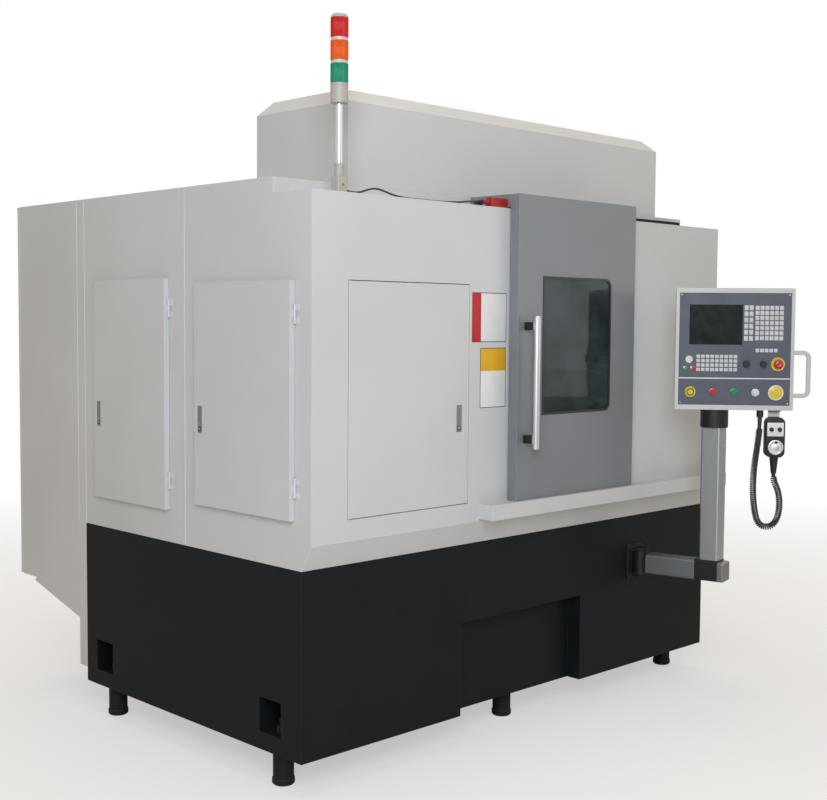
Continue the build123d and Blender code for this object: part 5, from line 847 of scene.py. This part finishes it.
# Handwheel unit: the wheel's rings are radius, height and knurl depth, its crank's radius and height
WHEEL_PLACE = (170, -400)
WHEEL_KNURLS = 60
WHEEL_RINGS = (
    (29, 8.6, 0), (30.6, 9.6, 0), (31, 11, 0), (31, 11.6, 1), (31, 18.4, 1), (31, 19.2, 0), (30, 22, 0),
    (28, 22.6, 0), (25, 22.4, 0), (23.5, 20.5, 0), (12, 19.6, 0), (9, 21, 0), (6, 21.4, 0),
)
CRANK_REACH = 22
CRANK = ((5, 20), (5, 24), (3.4, 25), (3.2, 27), (4.6, 29), (5, 33), (4.4, 37), (2.5, 38.5))
UNIT_FRONT = 8
SELECTOR_PLATE = (66, 56, (WHEEL_PLACE[0], -327))
HANGER = (46.8, 28, (WHEEL_PLACE[0], -264), -42.4, -37.6)


def make_handwheel():
    """The handwheel: a knurled rim round a dished dial, with a crank near its edge."""
    x, y = WHEEL_PLACE
    place = PANEL @ Matrix.Translation((x * MM, y * MM, 0))
    count = 4 * WHEEL_KNURLS
    wheel = [round_ring(radius, z, count, WHEEL_KNURLS, depth) for radius, z, depth in WHEEL_RINGS]
    make_piece("knurled_handwheel", [wheel], place, "aluminium", "hand_wheel", ["handwheel"])
    crank = turned(CRANK, 32, (0, CRANK_REACH))
    make_piece("handwheel_crank", [crank], place, "black_plastic", "hand_wheel")


def make_hand_unit_plates():
    """The pale plate round the unit's two selectors, and the pale strap that the unit hangs from."""
    width, height, middle = SELECTOR_PLATE
    plate = slab(width, height, 3, UNIT_FRONT, UNIT_FRONT + 2, 0.4, middle)
    make_piece("selector_plate", [plate], PANEL, "plate_white", "panel")
    width, height, middle, low, high = HANGER
    strap = slab(width, height, 1.5, low, high, 0.5, middle)
    make_piece("hanger_strap", [strap], PANEL, "plate_white", "panel")


make_handwheel()
make_hand_unit_plates()

# Blank plates on the front wall: places from the left wall and the floor, each with one field of colour
PLATES = {
    "access_plate": ((764, 1535, 953, 1719), (764, 1535, 812, 1719), "plate_red"),
    "door_plate": ((810, 1290, 953, 1514), (813, 1428, 950, 1511), "plate_yellow"),
}
PLATE_THICK = 0.8
PLATE_STEP = 0.3
PLATE_BORDER = 3


def make_plates():
    """Two thin printed plates with no lettering."""
    for name, (whole, field, finish) in PLATES.items():
        left, low, right, high = whole
        inside = (left + PLATE_BORDER, low + PLATE_BORDER, right - PLATE_BORDER, high - PLATE_BORDER)
        for part, (left, low, right, high), rise, slot in (
            ("_border", whole, PLATE_THICK - PLATE_STEP, "plate_line"),
            ("", inside, PLATE_THICK, "plate_white"),
            ("_field", field, PLATE_THICK + PLATE_STEP, finish),
        ):
            middle = ((left + right) / 2, (low + high) / 2)
            rings = slab(right - left, high - low, 2, 0, rise, 0.2, middle)
            make_piece(name + part, [rings], FRONT_WALL, slot, "machine")


make_plates()

# Small fittings of the walls and the sliding door, and pale strips of painted highlight on the left wall
BLOCK_SIZE = 30.8
BLOCK_REACH = 44
BLOCK_INSET = 37
# Pale strips of painted highlight on the left wall's seam and post edges
HIGHLIGHT_STRIP_WIDTH = 3
HIGHLIGHT_STRIP_RISE = 0.9
HIGHLIGHT_STRIP_SHORTER = 8
LOCK_SIZE = 15
LOCK_RISE = 13
LOCK_CYLINDER = ((4.5, 0), (4.5, 0.7), (4, 0.9))
LATCHES = {
    "front_access_latch": ("access_latch", (1, 0, 0), (0, -1, 0)),
    "left_front_latch": ("side_latch_front", (0, -1, 0), (-1, 0, 0)),
    "left_rear_latch": ("side_latch_rear", (0, -1, 0), (-1, 0, 0)),
}


def wall_frame(place, across, out):
    """A frame on an upright wall: x across, y up, z out of the wall."""
    return Matrix.Translation(place) @ Matrix((across, (0, 0, 1), out)).transposed().to_4x4()


def make_handle_blocks():
    """The two black stand-offs of the door handle."""
    low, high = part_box("door_handle")
    middle = (low.x + high.x) / 2
    for name, height in (("lower", low.z + BLOCK_INSET * MM), ("upper", high.z - BLOCK_INSET * MM)):
        place = wall_frame((middle, high.y, height), (1, 0, 0), (0, -1, 0))
        block = slab(BLOCK_SIZE, BLOCK_SIZE, 1.5, 0, BLOCK_REACH, 0.8)
        make_piece(f"handle_block_{name}", [block], place, "black_plastic", "door")


def make_seam_highlight_strips():
    """Pale strips of painted highlight down the left wall, where edges catch the light: one at the seam and one at
    each side of the rear post.
    """
    low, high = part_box("left_panels")
    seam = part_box("left_rear_door")[0].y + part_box("left_front_door")[1].y
    tall = (high.z - low.z) / MM - HIGHLIGHT_STRIP_SHORTER
    halfway = (high.z + low.z) / 2 / MM
    skins = [
        slab(HIGHLIGHT_STRIP_WIDTH, tall, 1.2, -0.5, HIGHLIGHT_STRIP_RISE, 0.5, (-depth / MM, halfway))
        for depth in (seam / 2, high.y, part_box("electrical_cabinet")[0].y)
    ]
    place = wall_frame((LEFT, 0, 0), (0, -1, 0), (-1, 0, 0))
    make_piece("seam_highlight_strips", skins, place, "plate_white", "machine")


def make_latch_locks():
    """The lock's dark square with its bright cylinder, near the lower end of each latch's paddle."""
    for node, (body, across, out) in LATCHES.items():
        low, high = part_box(node)
        middle = (low + high) / 2
        out = Vector(out)
        reach = (high - low).dot(Vector([abs(c) for c in out])) / 2
        place = middle + out * reach
        place.z = low.z + LOCK_RISE * MM
        lock_frame = wall_frame(place, across, out)
        square = slab(LOCK_SIZE, LOCK_SIZE, 1, -0.5, 0.5, 0.2)
        make_piece(f"{node}_lock", [square], lock_frame, "black_plastic", body)
        make_piece(f"{node}_cylinder", [turned(LOCK_CYLINDER, 24)], lock_frame, "ground_steel", body)


make_handle_blocks()
make_seam_highlight_strips()
make_latch_locks()


# Small screws: the head's profile as shares of its radius and height, and where the screws sit
HEAD_PROFILE = ((1, 0), (1, 0.7), (0.8, 1), (0.5, 1), (0.45, 0.4))
HEAD_HEIGHT = 1.6
PANEL_SCREW = 3.2
PANEL_SCREW_X = (-216, 216)
PANEL_SCREW_Y = (-222, 222)
ARM_SCREW = 4
ARM_HALF = 41
COLUMN_SCREWS = (77, 475)
ARM_SCREWS = (100, 190)


def screw_head(place, radius):
    """Rings of a socket screw's head at a place, with its recess."""
    return turned([(share * radius, rise * HEAD_HEIGHT) for share, rise in HEAD_PROFILE], 20, place)


def make_panel_screws():
    """Screws at the corners of the panel's face."""
    heads = [screw_head((x, y), PANEL_SCREW) for x in PANEL_SCREW_X for y in PANEL_SCREW_Y]
    place = PANEL @ Matrix.Translation((0, 0, FACE * MM))
    make_piece("panel_face_screws", heads, place, "ground_steel", "panel")


def make_arm_screws():
    """Two screws on the column's outer face, measured up from its foot, and two on top of the arm."""
    pivot = Vector(JOINTS["arm_swing"]["pos_m"])
    column = Vector(JOINTS["panel_swivel"]["pos_m"])
    column.z = pivot.z
    along = (column - pivot).normalized()
    across = Vector((-along.y, along.x, 0))
    foot = column + along * ARM_HALF * MM
    foot.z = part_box("column_tube")[0].z
    heads = [screw_head((0, rise), ARM_SCREW) for rise in COLUMN_SCREWS]
    make_piece("column_screws", heads, wall_frame(foot, across, along), "ground_steel", "swing_arm")
    top = Matrix.Translation(pivot + Vector((0, 0, ARM_HALF * MM)))
    heads = [screw_head((reach * along.x, reach * along.y), ARM_SCREW) for reach in ARM_SCREWS]
    make_piece("arm_screws", heads, top, "ground_steel", "swing_arm")


make_panel_screws()
make_arm_screws()

# Floor, world and lights: each light is its place, target, size, power and colour
FLOOR_SIZE = 60
FLOOR_NEAR = 1.8
FLOOR_FAR = 7
FLOOR_GLOW = 0.5
KEY_LIGHT = ((-4.3, -4.4, 3.3), (-0.3, -0.4, 1.2), 2.6, 252, "#e6efff")
FILL_LIGHT = ((4.6, -5.2, 2.4), (0.4, -0.4, 1.2), 3.0, 40, "#ffffff")
TOP_LIGHT = ((0, 0.5, 6.5), (0, 0.3, 0), 5.0, 150, "#ffeed6")
AMBIENT = 0.31


def make_floor():
    """A pale floor that goes on into the white background and keeps the machine's shadow."""
    bpy.ops.mesh.primitive_plane_add(size=FLOOR_SIZE)
    floor = bpy.context.object
    floor.name = "studio_floor"
    material, tree, shader = start_material("pale_floor", "#ededec", 0.7)
    glow = add_node(tree, "Emission", {"Color": (1, 1, 1, 1), "Strength": 1.0})
    ray = add_node(tree, "LightPath")
    place = add_node(tree, "TexCoord")
    away = add_node(tree, "VectorMath", {"operation": "LENGTH"}, {0: place.outputs["Object"]})
    white = add_node(tree, "MapRange",
                     {"From Min": FLOOR_NEAR, "From Max": FLOOR_FAR, "To Min": FLOOR_GLOW, "To Max": 1.0},
                     {"Value": away.outputs["Value"]})
    share = add_node(tree, "Math", {"operation": "MULTIPLY"},
                     {0: ray.outputs["Is Camera Ray"], 1: white.outputs["Result"]})
    mixed = add_node(tree, "MixShader", None, {0: share.outputs[0], 1: shader.outputs[0], 2: glow.outputs[0]})
    tree.links.new(mixed.outputs[0], tree.nodes["Material Output"].inputs["Surface"])
    floor.data.materials.append(material)


def make_world():
    """A white world for what the camera and the gloss see, and a softer one that lights."""
    world = bpy.data.worlds.new("studio")
    world.use_nodes = True
    tree = world.node_tree
    ray = add_node(tree, "LightPath")
    seen = add_node(tree, "Math", {"operation": "MAXIMUM"},
                    {0: ray.outputs["Is Camera Ray"], 1: ray.outputs["Is Glossy Ray"]})
    seen = add_node(tree, "Math", {"operation": "MAXIMUM"},
                    {0: seen.outputs[0], 1: ray.outputs["Is Transmission Ray"]})
    soft = tree.nodes["Background"]
    soft.inputs["Color"].default_value = linear("#ffe6c2")
    soft.inputs["Strength"].default_value = AMBIENT
    white = add_node(tree, "Background", {"Color": (1, 1, 1, 1), "Strength": 1.0})
    mixed = add_node(tree, "MixShader", None, {0: seen.outputs[0], 1: soft.outputs[0], 2: white.outputs[0]})
    tree.links.new(mixed.outputs[0], tree.nodes["World Output"].inputs["Surface"])
    bpy.context.scene.world = world


def make_light(name, place, target, size, power, colour):
    """A soft square light that looks at a target."""
    data = bpy.data.lights.new(name, "AREA")
    data.color = linear(colour)[:3]
    data.size = size
    data.energy = power
    light = bpy.data.objects.new(name, data)
    light.location = place
    light.rotation_euler = (Vector(target) - Vector(place)).to_track_quat("-Z", "Y").to_euler()
    bpy.context.collection.objects.link(light)


make_floor()
make_world()
make_light("key_light", *KEY_LIGHT)
make_light("fill_light", *FILL_LIGHT)
make_light("top_light", *TOP_LIGHT)
bpy.context.scene.view_settings.view_transform = "Standard"
